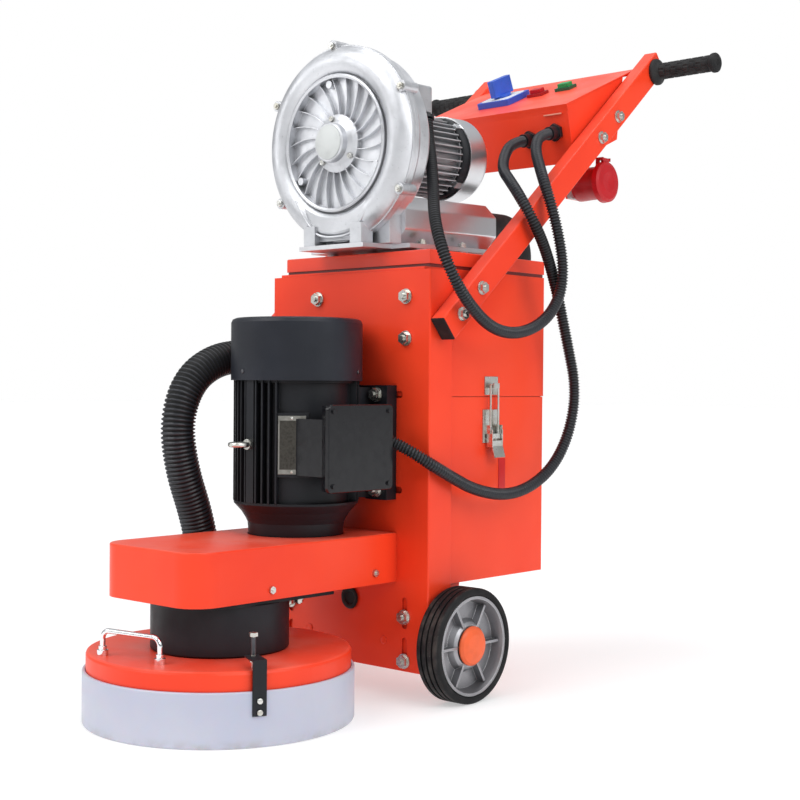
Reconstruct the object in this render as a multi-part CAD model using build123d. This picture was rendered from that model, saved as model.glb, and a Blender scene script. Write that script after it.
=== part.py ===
from build123d import *
import os
from math import cos, hypot, pi, radians, sin, tan

# Walk-behind concrete grinder with an on-board dust collector.
# Millimetres.  X is to the machine's left-right, -Y is the way it travels (grinding head in
# front), +Z is up and the floor is Z = 0.  Parts are laid out from the front face of the frame
# plate (Y = 0) and moved as a whole when they are written, so that the origin ends up on the
# floor under the middle of the machine.

# ---- driving dimensions ---------------------------------------------------------------
ORIGIN_Y = 88.0             # distance from the frame plate back to the row's origin
RUN_GAP = 0.05              # radial running clearance of shafts and bores

PLATE_HALF = 196.0          # frame plate: half width, thickness, bottom and top
PLATE_T = 4.0
PLATE_Z = (50.0, 750.0)
FLANGE_DEPTH = 60.0

BOX_HALF = 179.0            # filter box and dust bin: half width, rear face, sheet
BOX_REAR = 351.0
SHEET = 3.0
SEAM_Z = 529.0              # joint between filter box and dust bin
BIN_BOTTOM = 199.0
BOX_TOP = 755.0
LID_Z = (761.0, 786.0)
LID_FRONT = 18.0
TUBE_SHEET_Z = 640.0

WHEEL_R = 100.0             # wheels and axle
WHEEL_X = (202.0, 252.0)
RIM_R = 86.0
AXLE_R = 10.0
AXLE_Y = 60.0
AXLE_Z = WHEEL_R

HEAD_Y = -299.0             # grinding head: axis and rings
SKIRT_R = 223.0
SKIRT_T = 5.0
SKIRT_Z = (1.0, 86.0)
COVER_R = 217.0
COVER_Z = (62.0, 116.0)
DISC_R = 190.0
HEAD_PITCH_R = 150.0
HEAD_COUNT = 12
SPINDLE_R = 20.0
DRUM_R = 114.0
FLANGE_TOP = 207.0
FLANGE_BOLT = (100.0, -215.0)
GUARD_Z = (205.0, 291.0)
GUARD_HALF = 122.0
GUARD_FRONT = -456.0
GUARD_CORNER = 48.0
SKIRT_TRAVEL = 25.0
BRACKET_ANGLES = (-25.4, 126.0)

MOTOR_Y = -127.0            # grinding motor, shaft down
MOTOR_Z = (349.0, 558.0)
MOTOR_TOP = 663.0
MOTOR_CORE_R = 96.0
MOTOR_SPIGOT_R = 82.0
MOTOR_SHAFT_R = 19.0
FIN_LAST = 299.0            # last fin before the smooth side with the rating plate's pad
RATING_PAD_ANGLE = -48.0
RATING_PAD_W = 56.0
RATING_PAD_R = 102.0
RATING_PAD_Z = (394.0, 502.0)
TERMINAL_NECK_Y = (-199.0, -88.0)
MOTOR_PULLEY_R = 48.0
HEAD_PULLEY_R = 72.0
BELT_Z = (236.0, 250.0, 264.0)
BELT_W = 10.0
BELT_T = 8.0

BLOWER_AT = (-8.0, -30.0, 982.0)   # side-channel blower: centre of its front ring
BLOWER_TILT = 1.2
CHANNEL_R = 146.0
CHANNEL_WALL_R = 29.0
CHANNEL_BORE_R = 25.0
PARTING_Y = 23.0
BLOWER_SHAFT_R = 12.0
SILENCER_X = 70.0
SILENCER_R = 44.0
SILENCER_Z = -138.0
BLOWER_FAN_R = 82.0
FRONT_FINS = 22
TONGUE_Y = -3.0             # face of the flat tongue under the front disc
LUG_ANGLES = (28.0, 93.0, 151.0, 213.0, 328.0)
LUG_R = 176.0
ELBOW_R = 30.0
ELBOW_Z = SILENCER_Z + 4

ARM_SLOPE = 40.5            # handle arms: rectangular tube
ARM_X = (196.0, 226.0)
ARM_DEPTH = 47.0
ARM_WALL = 2.5
ARM_START = (17.0, 647.0)
ARM_END = (684.0, 1214.0)
GRIP_AT = (665.0, 1192.0)
GRIP_END = 369.0

PANEL_FRONT = (397.0, 1092.0)      # control box between the arms
PANEL_SLOPE = 24.0
PANEL_LENGTH = 262.0
PANEL_SHEET = 2.5
CONTROL_HALF = 195.0
INLET_Y = 551.0
INLET_Z = 959.0
INLET_BASE = 30.0           # half side of the inlet's square base

LATCH_Y = 190.0             # toggle latches on both sides of the box
LATCH_PIVOT = (188.0, 470.0)
LATCH_CRANK = 12.0
LATCH_BAR_Z = 550.0

CONDUIT_R = 10.6            # corrugated conduits and suction hose
HOSE_R = 30.0
HOSE_PORT = (-153.0, -203.0)


def panel_point(x, distance, height):
    """Point on the control panel: distance back from its front edge, height square to it."""
    slope = radians(PANEL_SLOPE)
    y = PANEL_FRONT[0] + distance * cos(slope) - height * sin(slope)
    z = PANEL_FRONT[1] + distance * sin(slope) + height * cos(slope)
    return x, y, z


# Points of each free cord's route, in order, chosen along its run.
MOTOR_CONDUIT_ROUTE = [
    (99, 387, 1029), (99, 349, 1019.5), (112, 310, 988), (140, 270, 955), (190, 229, 925),
    (225, 212, 893), (248, 221, 850), (243, 268, 800), (234, 316, 728), (237, 347, 630),
    (243, 368, 545), (243, 350, 466), (238, 308, 402), (230, 246, 364), (223, 176, 352),
    (218, 98, 366), (216, 44, 388), (209, -4, 412), (190, -34, 434), (166, -46, 448), (150, -55.5, 456),
]
BLOWER_CONDUIT_ROUTE = [
    (162, 385, 1036), (162, 352, 1028), (180, 318, 994), (212, 290, 955), (236, 270, 925),
    (252, 272, 880), (259, 286, 826), (262, 297, 770), (259, 295, 720), (256, 262, 676),
    (253, 211, 650), (253, 150, 641), (254, 90, 652), (253, 38, 686), (250, 0, 728),
    (232, -14, 782), (200, 4, 836), (163, 44, 890), (128, 80, 946), (100, 102, 998), (92, 108, 1032),
]
SUCTION_HOSE_ROUTE = [
    (-153, -203, 160), (-153, -203, 236), (-152, -224, 318), (-151, -258, 400), (-150, -272, 482),
    (-150, -246, 552), (-150, -190, 590), (-150, -120, 601), (-150, -66, 600), (-150, -20, 600),
]


# ---- helpers ---------------------------------------------------------------------------
def box(x, y, z):
    """Block between the two values of each pair."""
    size = [high - low for low, high in (x, y, z)]
    middle = [(high + low) / 2 for low, high in (x, y, z)]
    return Pos(*middle) * Box(*size)


def rod(radius, start, end):
    """Cylinder between two points."""
    along = Vector(*end) - Vector(*start)
    place = Plane(origin=start, z_dir=along)
    return place * Cylinder(radius, along.length, align=(Align.CENTER, Align.CENTER, Align.MIN))


def upright(radius, z, x=0.0, y=0.0):
    return rod(radius, (x, y, z[0]), (x, y, z[1]))


def ring(outer, inner, z, x=0.0, y=0.0):
    return upright(outer, z, x, y) - upright(inner, (z[0] - 1, z[1] + 1), x, y)


def turned(points, axis_y):
    """Solid of revolution about the vertical through Y = axis_y; points are (radius, z)."""
    face = make_face(Plane.XZ * Polyline(points, close=True))
    return Pos(0, axis_y, 0) * revolve(face, Axis.Z)


def turned_y(points):
    """Solid of revolution about the Y axis; points are (radius, y)."""
    return revolve(make_face(Polyline(points, close=True)), Axis.Y)


def turned_x(points):
    """Solid of revolution about the X axis; points are (x, radius)."""
    return revolve(make_face(Polyline(points, close=True)), Axis.X)


def side_plate(points, x):
    """Sheet standing in a YZ plane between the two values of x."""
    face = make_face(Plane.YZ * Polyline(points, close=True))
    return Pos(x[0], 0, 0) * extrude(face, x[1] - x[0], dir=(1, 0, 0))


def both_sides(shape):
    return [shape, mirror(shape, Plane.YZ)]


def group(*shapes):
    solids = []
    for shape in shapes:
        for piece in shape if isinstance(shape, (list, tuple)) else [shape]:
            solids.extend(piece.solids())
    return Compound(solids)


def hexagon(at, axis, across, height):
    """Hexagonal head or nut standing on a point along an axis."""
    outline = RegularPolygon(across / 2, 6, major_radius=False)
    return Plane(origin=at, z_dir=axis) * extrude(outline, height)


def bolt(at, axis, size, washer=True):
    """Bolt head with its washer; size is the thread diameter."""
    direction = Vector(*axis)
    base = Vector(*at)
    parts = []
    if washer:
        face = base + direction * (0.2 * size)
        parts.append(rod(1.1 * size, tuple(base), tuple(face)))
        base = face
    head = hexagon(tuple(base), axis, 1.6 * size, 0.65 * size)
    tip = base + direction * (0.95 * size)
    return head + rod(0.42 * size, tuple(base), tuple(tip)) + parts


def corner_radii(route):
    """Largest tangent arcs that the runs beside each corner leave room for."""
    points = [Vector(*point) for point in route]
    radii = []
    for before, corner, after in zip(points, points[1:], points[2:]):
        first = corner - before
        second = after - corner
        half_turn = radians(first.get_angle(second)) / 2
        radii.append(0.45 * min(first.length, second.length) / tan(half_turn))
    return radii


def cord(name, route, radius):
    """Tube along straight runs joined by tangent arcs; prints its bends and its volume check."""
    radii = corner_radii(route)
    path = FilletPolyline(*route, radius=radii)
    start = Plane(origin=path @ 0, z_dir=path % 0)
    section = start * Circle(radius)
    tube = sweep(section, path=path)
    ratio = tube.volume / (pi * radius ** 2 * path.length)
    print(name, "length", round(path.length), "volume ratio", round(ratio, 4))
    print("   bend radii in diameters", [round(r / (2 * radius), 1) for r in radii])
    return tube


def arm_point(distance, offset=0.0):
    """(y, z) on a handle arm: distance along its centre line, offset square to it and up."""
    slope = radians(ARM_SLOPE)
    y = ARM_START[0] + distance * cos(slope) - offset * sin(slope)
    z = ARM_START[1] + distance * sin(slope) + offset * cos(slope)
    return y, z


def on_panel(x, distance, height):
    """Placement on the control panel, local Z square to it."""
    return Location(panel_point(x, distance, height), (PANEL_SLOPE, 0, 0))


def in_blower(shape):
    """Move a shape from the blower's own frame (axis along Y) to its place."""
    return Location(BLOWER_AT, (BLOWER_TILT, 0, 0)) * shape


# ---- frame, wheels ---------------------------------------------------------------------
PLATE_NUTS = [(-76, 706), (141, 704), (141, 631)]
AXLE_BOLT_X = 142.0
AXLE_BOLTS_Z = (68.0, 145.0)
MOUNT_HOLE = (93.0, 99.0, 6.0)
FOOT_X = 95.0
FOOT_BOLTS_Z = (366.0, 533.0)


def slot_y(x, z, width):
    """Cutter through the frame plate: a rounded slot between the given x and z pairs."""
    r = width / 2
    if x[0] == x[1]:
        body = box((x[0] - r, x[1] + r), (-5, 10), z)
    else:
        body = box(x, (-5, 10), (z[0] - r, z[1] + r))
    ends = [rod(r, (x[i], -5, z[i]), (x[i], 10, z[i])) for i in (0, 1)]
    return body + ends


def front_plate():
    plate = box((-PLATE_HALF, PLATE_HALF), (0, FLANGE_DEPTH), PLATE_Z)
    inner = PLATE_HALF - PLATE_T
    plate -= box((-inner, inner), (PLATE_T, FLANGE_DEPTH + 1), (PLATE_Z[0] - 1, PLATE_Z[1] + 1))
    plate = fillet(plate.edges().filter_by(Axis.Z).group_by(Axis.Y)[0], 3)
    for side in (-1, 1):
        x = side * AXLE_BOLT_X
        plate -= slot_y((x, x), (60, 103), 12)
        plate -= slot_y((x, x), (130, 173), 12)
        ends = sorted((side * 92.0, side * 128.0))
        for z in FOOT_BOLTS_Z:
            plate -= slot_y(ends, (z, z), 12)
        hole_x, hole_z, hole_r = MOUNT_HOLE
        plate -= rod(hole_r, (side * hole_x, -5, hole_z), (side * hole_x, 10, hole_z))
    plate -= rod(18, (11, -5, 166), (11, 10, 166))
    plate -= rod(HOSE_R + 2, (-150, -5, 600), (-150, 10, 600))
    notch = AXLE_R + 3
    plate -= rod(notch, (-PLATE_HALF - 5, AXLE_Y, AXLE_Z), (PLATE_HALF + 5, AXLE_Y, AXLE_Z))
    return plate


def axle_brackets():
    """Angle brackets that carry the axle and a shelf under the dust bin."""
    back = box((118, 166), (4, 10), (56, 199))
    ear = side_plate([(4, 56), (74, 76), (90, 100), (90, 120), (120, 193), (120, 199), (4, 199)],
                     (160, 166))
    shelf = box((118, 166), (4, 120), (193, 199))
    bracket = back + ear + shelf
    bracket -= rod(AXLE_R, (150, AXLE_Y, AXLE_Z), (170, AXLE_Y, AXLE_Z))
    return group(both_sides(bracket))


def wheel_axle():
    """Fixed axle with a shoulder collar and an end nut and washer for each wheel."""
    reach = WHEEL_X[1] - 3
    axle = rod(AXLE_R, (-reach, AXLE_Y, AXLE_Z), (reach, AXLE_Y, AXLE_Z))
    for side in (-1, 1):
        for radius, near, far in ((15, 196.5, 201.5), (14, 244.6, 246.6)):
            axle += rod(radius, (side * near, AXLE_Y, AXLE_Z), (side * far, AXLE_Y, AXLE_Z))
        axle += hexagon((side * 246.6, AXLE_Y, AXLE_Z), (side, 0, 0), 22, 3)
    return axle


def tyre():
    half = (WHEEL_X[1] - WHEEL_X[0]) / 2
    middle = WHEEL_X[0] + half
    outline = Pos(middle, (WHEEL_R + RIM_R) / 2) * RectangleRounded(2 * half, WHEEL_R - RIM_R, 6)
    for offset in (-12, 0, 12):
        outline -= Pos(middle + offset, WHEEL_R) * Rectangle(4, 7)
    return revolve(outline, Axis.X)


def rim():
    outer = WHEEL_X[1] - 2
    inner = WHEEL_X[0] + 2
    barrel = turned_x([(inner, RIM_R), (inner, 79), (224, 74), (outer - 6, 79), (outer, 81),
                       (outer, RIM_R)])
    web = turned_x([(222, 20), (228, 20), (228, 77), (222, 77)])
    hub = turned_x([(WHEEL_X[0], 10), (244, 10), (244, 24), (WHEEL_X[0], 24)])
    rib = box((210, 243), (20, 76), (-2.2, 2.2))
    ribs = [Rot(60 * i, 0, 0) * rib for i in range(6)]
    cone = turned_x([(224, 22), (242, 22), (242, 36), (238, 41), (228, 47), (224, 47)])
    wheel = barrel + [web, hub, cone] + ribs
    return wheel - rod(AXLE_R + RUN_GAP, (190, 0, 0), (260, 0, 0))


def hub_cap():
    cap = turned_x([(244.2, 30), (250.4, 27), (250.4, 0), (254, 0), (253.4, 20), (251, 30),
                    (247, 34), (244.2, 34)])
    return cap


def wheel_part(make, side):
    shape = Pos(0, AXLE_Y, AXLE_Z) * make()
    return shape if side > 0 else mirror(shape, Plane.YZ)


# ---- dust collector --------------------------------------------------------------------
def filter_box():
    half = BOX_HALF
    shell = box((-half, half), (PLATE_T, BOX_REAR), (SEAM_Z + 1, BOX_TOP))
    room = half - SHEET
    shell -= box((-room, room), (PLATE_T + SHEET, BOX_REAR - SHEET), (SEAM_Z, BOX_TOP + 1))
    sheet = box((-room, room), (PLATE_T + SHEET, BOX_REAR - SHEET),
                (TUBE_SHEET_Z, TUBE_SHEET_Z + SHEET))
    sheet -= upright(80, (TUBE_SHEET_Z - 1, TUBE_SHEET_Z + 5), 0, 185)
    shell += sheet
    shell -= rod(HOSE_R + 2, (-150, 0, 600), (-150, 20, 600))
    shell -= rod(ELBOW_R - 5, (62, BOX_REAR - 20, 700), (62, BOX_REAR + 20, 700))
    return shell


def dust_bin():
    half = BOX_HALF
    front = PLATE_T + 4
    shell = box((-half, half), (front, BOX_REAR), (BIN_BOTTOM, SEAM_Z))
    shell = fillet(shell.edges().filter_by(Axis.Z).group_by(Axis.Y)[-1], 3)
    room = half - SHEET
    shell -= box((-room, room), (front + SHEET, BOX_REAR - SHEET), (BIN_BOTTOM + SHEET, SEAM_Z + 1))
    return shell


def top_lid():
    half = BOX_HALF
    lid = box((-half, half), (LID_FRONT, BOX_REAR), LID_Z)
    lid = fillet(lid.edges().group_by(Axis.Z)[-1], 2.5)
    room = half - SHEET
    lid -= box((-room, room), (LID_FRONT + SHEET, BOX_REAR - SHEET), (LID_Z[0] - 1, LID_Z[1] - SHEET))
    seal = box((-half + 2, half - 2), (LID_FRONT + 2, BOX_REAR - 2), (BOX_TOP, LID_Z[0]))
    seal -= box((-half + 16, half - 16), (LID_FRONT + 16, BOX_REAR - 16), (BOX_TOP - 1, LID_Z[0] + 1))
    return group(lid, seal)


def filter_cartridge():
    """Pleated cartridge hung from the tube sheet."""
    outline = Circle(88)
    for place in PolarLocations(88, 48):
        outline += place * Rectangle(22, 3.4)
    outline -= Circle(74)
    pleats = extrude(outline, 150)
    top = ring(104, 74, (150, 160))
    bottom = upright(100, (-8, 0))
    return Pos(0, 185, TUBE_SHEET_Z - 160) * (pleats + top + bottom)


# ---- grinding head ---------------------------------------------------------------------
def disc_cover():
    low, high = COVER_Z
    inner = COVER_R - 4
    cover = turned([(26, high - 4), (26, high), (COVER_R - 5, high), (COVER_R - 1.5, high - 1.5),
                    (COVER_R, high - 5), (COVER_R, low), (inner, low), (inner, high - 4)], HEAD_Y)
    port = ring(HOSE_R, HOSE_R - 3, (high - 1, 160), *HOSE_PORT)
    return cover - upright(HOSE_R - 3, (high - 10, high + 5), *HOSE_PORT) + port


def spindle_housing():
    """Cast drum with the plate that bolts it under the belt case."""
    drum = upright(DRUM_R, (COVER_Z[1], 197), 0, HEAD_Y)
    drum = chamfer(drum.edges().group_by(Axis.Z)[0], 3)
    flange = box((-110, 110), (-411, -143), (197, FLANGE_TOP))
    flange = fillet(flange.edges().filter_by(Axis.Z).group_by(Axis.Y)[0], 60)
    body = drum + flange
    body -= upright(SPINDLE_R + 12, (100, 220), 0, HEAD_Y)
    for z in ((122, 146), (174, 198)):
        body -= upright(45, z, 0, HEAD_Y)
    return body


def case_outline(front, half, corner, rear=0.0):
    """Plan of the belt case, square at the frame plate and rounded at the front."""
    outline = Pos(0, (front + rear) / 2) * Rectangle(2 * half, rear - front)
    return fillet(outline.vertices().group_by(Axis.Y)[0], corner)


def belt_case_base():
    """Floor of the belt case with upturned edges, against the frame plate."""
    outer = case_outline(GUARD_FRONT + 3.2, GUARD_HALF - 3.2, GUARD_CORNER - 3)
    inner = case_outline(GUARD_FRONT + 7.2, GUARD_HALF - 7.2, GUARD_CORNER - 7, -4)
    case = Pos(0, 0, FLANGE_TOP) * extrude(outer, 28) - Pos(0, 0, FLANGE_TOP + 4) * extrude(inner, 40)
    return case - upright(46, (190, 220), 0, HEAD_Y)


def belt_guard():
    """Cover of the belt case, open below and towards the frame plate."""
    low, high = GUARD_Z
    solid = Pos(0, 0, low) * extrude(case_outline(GUARD_FRONT, GUARD_HALF, GUARD_CORNER), high - low)
    solid = fillet(solid.edges().group_by(Axis.Z)[-1], 3)
    room = case_outline(GUARD_FRONT + 3, GUARD_HALF - 3, GUARD_CORNER - 3, 5)
    inside = Pos(0, 0, low - 1) * extrude(room, high - low - 2)
    return solid - inside - upright(MOTOR_SPIGOT_R + 2, (high - 10, high + 5), 0, MOTOR_Y)


def bracket_place(angle):
    return Location((0, HEAD_Y, 0), (0, 0, angle))


BRACKET_W = 22.0
BRACKET_Z = (49.0, 134.0)
BRACKET_SCREWS_Z = (54.5, 72.0)
STUD_R = 3.5
STUD_AT = COVER_R - 26.0


def skirt_ring():
    """Floating dust skirt round the cover."""
    low, high = SKIRT_Z
    inner = SKIRT_R - SKIRT_T
    return turned([(inner, low), (SKIRT_R - 1, low), (SKIRT_R, low + 2), (SKIRT_R, high - 2),
                   (SKIRT_R - 1.5, high), (inner, high)], HEAD_Y)


def skirt_brackets():
    """Bent straps screwed to the skirt; their top legs slide on the guide studs."""
    low, high = BRACKET_Z
    strap = box((SKIRT_R, SKIRT_R + 3), (-BRACKET_W / 2, BRACKET_W / 2), (low, high))
    leg = box((STUD_AT - 11, SKIRT_R + 3), (-BRACKET_W / 2, BRACKET_W / 2), (high - 3, high))
    leg -= upright(STUD_R + 0.6, (high - 10, high + 5), STUD_AT, 0)
    shape = strap + leg
    for z in BRACKET_SCREWS_Z:
        shape += rod(4, (SKIRT_R + 3, 0, z), (SKIRT_R + 5.5, 0, z))
    return group([bracket_place(a) * shape for a in BRACKET_ANGLES])


def guide_studs():
    top = BRACKET_Z[1] + SKIRT_TRAVEL + 5
    seat = BRACKET_Z[1] - 3
    stud = upright(STUD_R, (COVER_Z[1], top), STUD_AT, 0)
    stud += hexagon((STUD_AT, 0, top), (0, 0, 1), 12, 6)
    stud += hexagon((STUD_AT, 0, seat - 6), (0, 0, 1), 12, 6)
    return [bracket_place(a) * stud for a in BRACKET_ANGLES]


HANDLE_FEET = ((-74.0, -480.0), (48.0, -462.0))


def lift_handle():
    base = COVER_Z[1]
    top = base + 40
    (x0, y0), (x1, y1) = HANDLE_FEET
    path = FilletPolyline((x0, y0, base), (x0, y0, top), (x1, y1, top), (x1, y1, base), radius=14)
    bar = sweep(Plane(origin=path @ 0, z_dir=path % 0) * Circle(4.3), path=path)
    for x, y in HANDLE_FEET:
        bar += upright(9, (base, base + 9), x, y)
        bar += upright(6.5, (base + 9, base + 15), x, y)
    return bar


def grinding_disc():
    disc = ring(DISC_R, SPINDLE_R, (36, 46), 0, HEAD_Y)
    hub = ring(60, SPINDLE_R, (46, 58), 0, HEAD_Y)
    return disc + hub


def grinding_heads():
    """Star-shaped diamond heads, each with six segments that touch the floor."""
    base = Circle(22)
    for place in PolarLocations(24, 6):
        base += place * RectangleRounded(20, 13, 3)
    head = Pos(0, 0, 10) * extrude(base, 26)
    tip = Pos(0, 0, 0) * extrude(RectangleRounded(17, 10, 2), 10)
    head += [Rot(0, 0, 60 * i) * Pos(24, 0, 0) * tip for i in range(6)]
    heads = []
    for i in range(HEAD_COUNT):
        turn = Rot(0, 0, 360 * i / HEAD_COUNT)
        heads.append(Pos(0, HEAD_Y, 0) * turn * Pos(HEAD_PITCH_R, 0, 0) * head)
    return group(heads)


def grooved_pulley(radius, bore, axis_y):
    """Pulley with one plain groove per belt."""
    low = BELT_Z[0] - 9
    high = BELT_Z[-1] + 9
    pulley = upright(radius + 6, (low, high), 0, axis_y)
    for z in BELT_Z:
        cut = ring(radius + 10, radius - 0.6, (z - 5.7, z + 5.7), 0, axis_y)
        pulley -= cut
    return pulley - upright(bore, (low - 1, high + 1), 0, axis_y)


def spindle_shaft():
    shaft = upright(SPINDLE_R, (36, 275), 0, HEAD_Y)
    shaft = chamfer(shaft.edges().group_by(Axis.Z)[-1], 2)
    return group(shaft, grooved_pulley(HEAD_PULLEY_R, SPINDLE_R, HEAD_Y))


def belt_outline(extra):
    head = Pos(0, HEAD_Y) * Circle(HEAD_PULLEY_R + extra)
    motor = Pos(0, MOTOR_Y) * Circle(MOTOR_PULLEY_R + extra)
    return make_hull(head.edges() + motor.edges())


def drive_belts():
    loop = belt_outline(BELT_T) - belt_outline(0)
    belts = [Pos(0, 0, z - BELT_W / 2) * extrude(loop, BELT_W) for z in BELT_Z]
    return group(belts)


# ---- grinding motor --------------------------------------------------------------------
def motor_housing():
    """Finned frame with its feet and end shields, on the base plate of the frame."""
    low, high = MOTOR_Z
    outline = Circle(MOTOR_CORE_R)
    for i in range(52):
        angle = 360 * i / 52
        if abs(angle - 90) < 27 or angle < 26 or angle > FIN_LAST:
            continue
        outline += Rot(0, 0, angle) * Pos(MOTOR_CORE_R + 4.5, 0) * Rectangle(17, 3.2)
    outline -= Circle(MOTOR_CORE_R - 10)
    frame = extrude(outline, high - low)
    frame += Pos(0, -MOTOR_CORE_R - 5, (high - low) / 2) * Box(18, 16, high - low)
    pad_low, pad_high = RATING_PAD_Z
    pad = box((MOTOR_CORE_R - 12, RATING_PAD_R), (-RATING_PAD_W / 2, RATING_PAD_W / 2),
              (pad_low - low, pad_high - low))
    frame += Rot(0, 0, RATING_PAD_ANGLE) * pad
    feet = []
    for side in (-1, 1):
        near, far = sorted((side * 70.0, side * 120.0))
        foot = box((near, far), (-25, -10), (low, low + 200))
        web = box(sorted((side * 70.0, side * 80.0)), (-80, -25), (low + 4, low + 196))
        feet += [foot, web]
    frame = Pos(0, MOTOR_Y, low) * frame
    frame = frame + feet
    frame -= upright(MOTOR_CORE_R - 10, (low - 1, high + 1), 0, MOTOR_Y)
    lower = turned([(24, 291), (MOTOR_SPIGOT_R, 291), (84, 312), (88, 320), (95, 331), (108, 345), (108, 349),
                    (84, 349), (84, 338), (60, 328), (46, 328), (46, 312),
                    (24, 312)], MOTOR_Y)
    upper = turned([(22, 552), (104, 552), (104, 558), (109, 558), (109, 564), (22, 564)], MOTOR_Y)
    base = box((-120, 120), (-10, 0), (low, low + 200))
    return group(frame, lower, upper, base)


def motor_fan_cover():
    low = MOTOR_Z[1] - 2
    cover = turned([(111, low), (114, low), (114, MOTOR_TOP - 8), (111.5, MOTOR_TOP - 2.5),
                    (106, MOTOR_TOP), (0, MOTOR_TOP), (0, MOTOR_TOP - 3), (104, MOTOR_TOP - 3),
                    (108, MOTOR_TOP - 5), (111, MOTOR_TOP - 10)], MOTOR_Y)
    slots = []
    for radius in (40, 54, 68, 82, 96):
        band = ring(radius + 4, radius - 4, (MOTOR_TOP - 10, MOTOR_TOP + 5))
        spokes = [Rot(0, 0, 45 * i) * box((0, 130), (-5, 5), (600, 700)) for i in range(8)]
        slots.append(Pos(0, MOTOR_Y, 0) * (band - spokes))
    return cover - slots


TERMINAL_X = (136.0, 162.0)
TERMINAL_Y = (-216.0, -65.0)
TERMINAL_Z = (375.0, 515.0)
TERMINAL_DRAFT = 16.0


def motor_terminal_box():
    near, far = TERMINAL_X
    front, rear = TERMINAL_Y
    plan = Polyline([(near, front + TERMINAL_DRAFT), (far, front), (far, rear), (near, rear)], close=True)
    shell = Pos(0, 0, TERMINAL_Z[0]) * extrude(make_face(plan), TERMINAL_Z[1] - TERMINAL_Z[0])
    shell = fillet(shell.edges().filter_by(Axis.X), 8)
    shell -= box((near + 4, far - 4), (front + TERMINAL_DRAFT + 6, rear - 4), (379, 511))
    neck = box((50, near + 1), TERMINAL_NECK_Y, (397, 492))
    neck -= upright(MOTOR_CORE_R, (390, 500), 0, MOTOR_Y)
    pad_low, pad_high = RATING_PAD_Z
    pad_room = box((0, RATING_PAD_R + 0.5), (-RATING_PAD_W / 2 - 0.5, RATING_PAD_W / 2 + 0.5),
                   (pad_low - 1, pad_high + 1))
    neck -= Pos(0, MOTOR_Y, 0) * Rot(0, 0, RATING_PAD_ANGLE) * pad_room
    lid = box((162, 170), (TERMINAL_Y[0] - 2, TERMINAL_Y[1] + 2), (373, 517))
    lid = fillet(lid.edges().filter_by(Axis.X), 9)
    lid = chamfer(lid.faces().sort_by(Axis.X)[-1].edges(), 1.5)
    screws = [rod(4, (170, y, z), (173, y, z)) for y in (-207, -75) for z in (384, 506)]
    return group(shell + neck, lid, screws)


def motor_stator():
    core = ring(85.9, 59, (378, 520), 0, MOTOR_Y)
    coils = [ring(80, 62, (352, 378), 0, MOTOR_Y), ring(80, 62, (520, 546), 0, MOTOR_Y)]
    return core + coils


def motor_rotor():
    shaft = upright(MOTOR_SHAFT_R, (227, 600), 0, MOTOR_Y)
    core = upright(58, (380, 518), 0, MOTOR_Y)
    return shaft + core


def bearings():
    """Rolling bearings drawn as plain rings with running clearance on their shafts."""
    rings = [
        ring(45, SPINDLE_R + RUN_GAP, (122, 146), 0, HEAD_Y),
        ring(45, SPINDLE_R + RUN_GAP, (174, 198), 0, HEAD_Y),
        ring(46, MOTOR_SHAFT_R + RUN_GAP, (312, 328), 0, MOTOR_Y),
        ring(40, MOTOR_SHAFT_R + RUN_GAP, (546, 552), 0, MOTOR_Y),
    ]
    for near, far in ((52, 66), (272, 285)):
        outer = rod(30, (0, near, 0), (0, far, 0))
        bore = rod(BLOWER_SHAFT_R + RUN_GAP, (0, near - 1, 0), (0, far + 1, 0))
        rings.append(in_blower(outer - bore))
    return group(rings)


def motor_fan():
    hub = ring(34, MOTOR_SHAFT_R, (572, 600), 0, MOTOR_Y)
    plate = ring(96, 30, (572, 575), 0, MOTOR_Y)
    blade = box((32, 94), (-1.5, 1.5), (574, 606))
    blades = [Pos(0, MOTOR_Y, 0) * Rot(0, 0, 45 * i) * blade for i in range(8)]
    return hub + plate + blades


def motor_pulley():
    return grooved_pulley(MOTOR_PULLEY_R, MOTOR_SHAFT_R, MOTOR_Y)


# ---- blower ----------------------------------------------------------------------------
SOLE_Z = (-190.0, -182.0)
SOLE_BOLTS = [(-112.0, 108.0), (-112.0, 222.0), (112.0, 108.0), (112.0, 222.0)]


def channel(radius):
    return Rot(90, 0, 0) * Torus(CHANNEL_R, radius)


def blower_lugs(near, far):
    lugs = []
    for degrees in LUG_ANGLES:
        x, z = LUG_R * cos(radians(degrees)), LUG_R * sin(radians(degrees))
        lugs.append(rod(10, (x, near, z), (x, far, z)))
    return lugs


def volute_half(near, far):
    """Part of the side channel wall between two planes square to the axis."""
    slab = box((-250, 250), (near, far), (-250, 250))
    wall = Pos(0, PARTING_Y, 0) * channel(CHANNEL_WALL_R)
    return wall & slab


def impeller_room():
    """Side channel and the slot in which the impeller disc runs."""
    slot = turned_y([(0, 19.5), (128, 19.5), (128, 26.5), (0, 26.5)])
    return Pos(0, PARTING_Y, 0) * channel(CHANNEL_BORE_R) + slot


def front_foot():
    """Two legs under the front half, with the duct neck above them."""
    neck = box((-50, 50), (6, 22), (-174, -156))
    legs = [box((-72, -44), (-8, 22), (SOLE_Z[1], -146)), box((44, 72), (-8, 22), (SOLE_Z[1], -146))]
    leg_cut = [Pos(-86, 7, -140) * Rot(0, 24, 0) * Box(30, 60, 90),
               Pos(86, 7, -140) * Rot(0, -24, 0) * Box(30, 60, 90)]
    return neck + legs - leg_cut


def tongue():
    """Cutter for the flat tongue that runs down from the front disc across the side channel."""
    outline = Polyline([(-112, -50), (-52, -150), (-34, -166), (38, -166), (56, -150), (114, -50)],
                       close=True)
    return Pos(0, TONGUE_Y, 0) * extrude(Plane.XZ * make_face(outline), 20, dir=(0, -1, 0))


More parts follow.
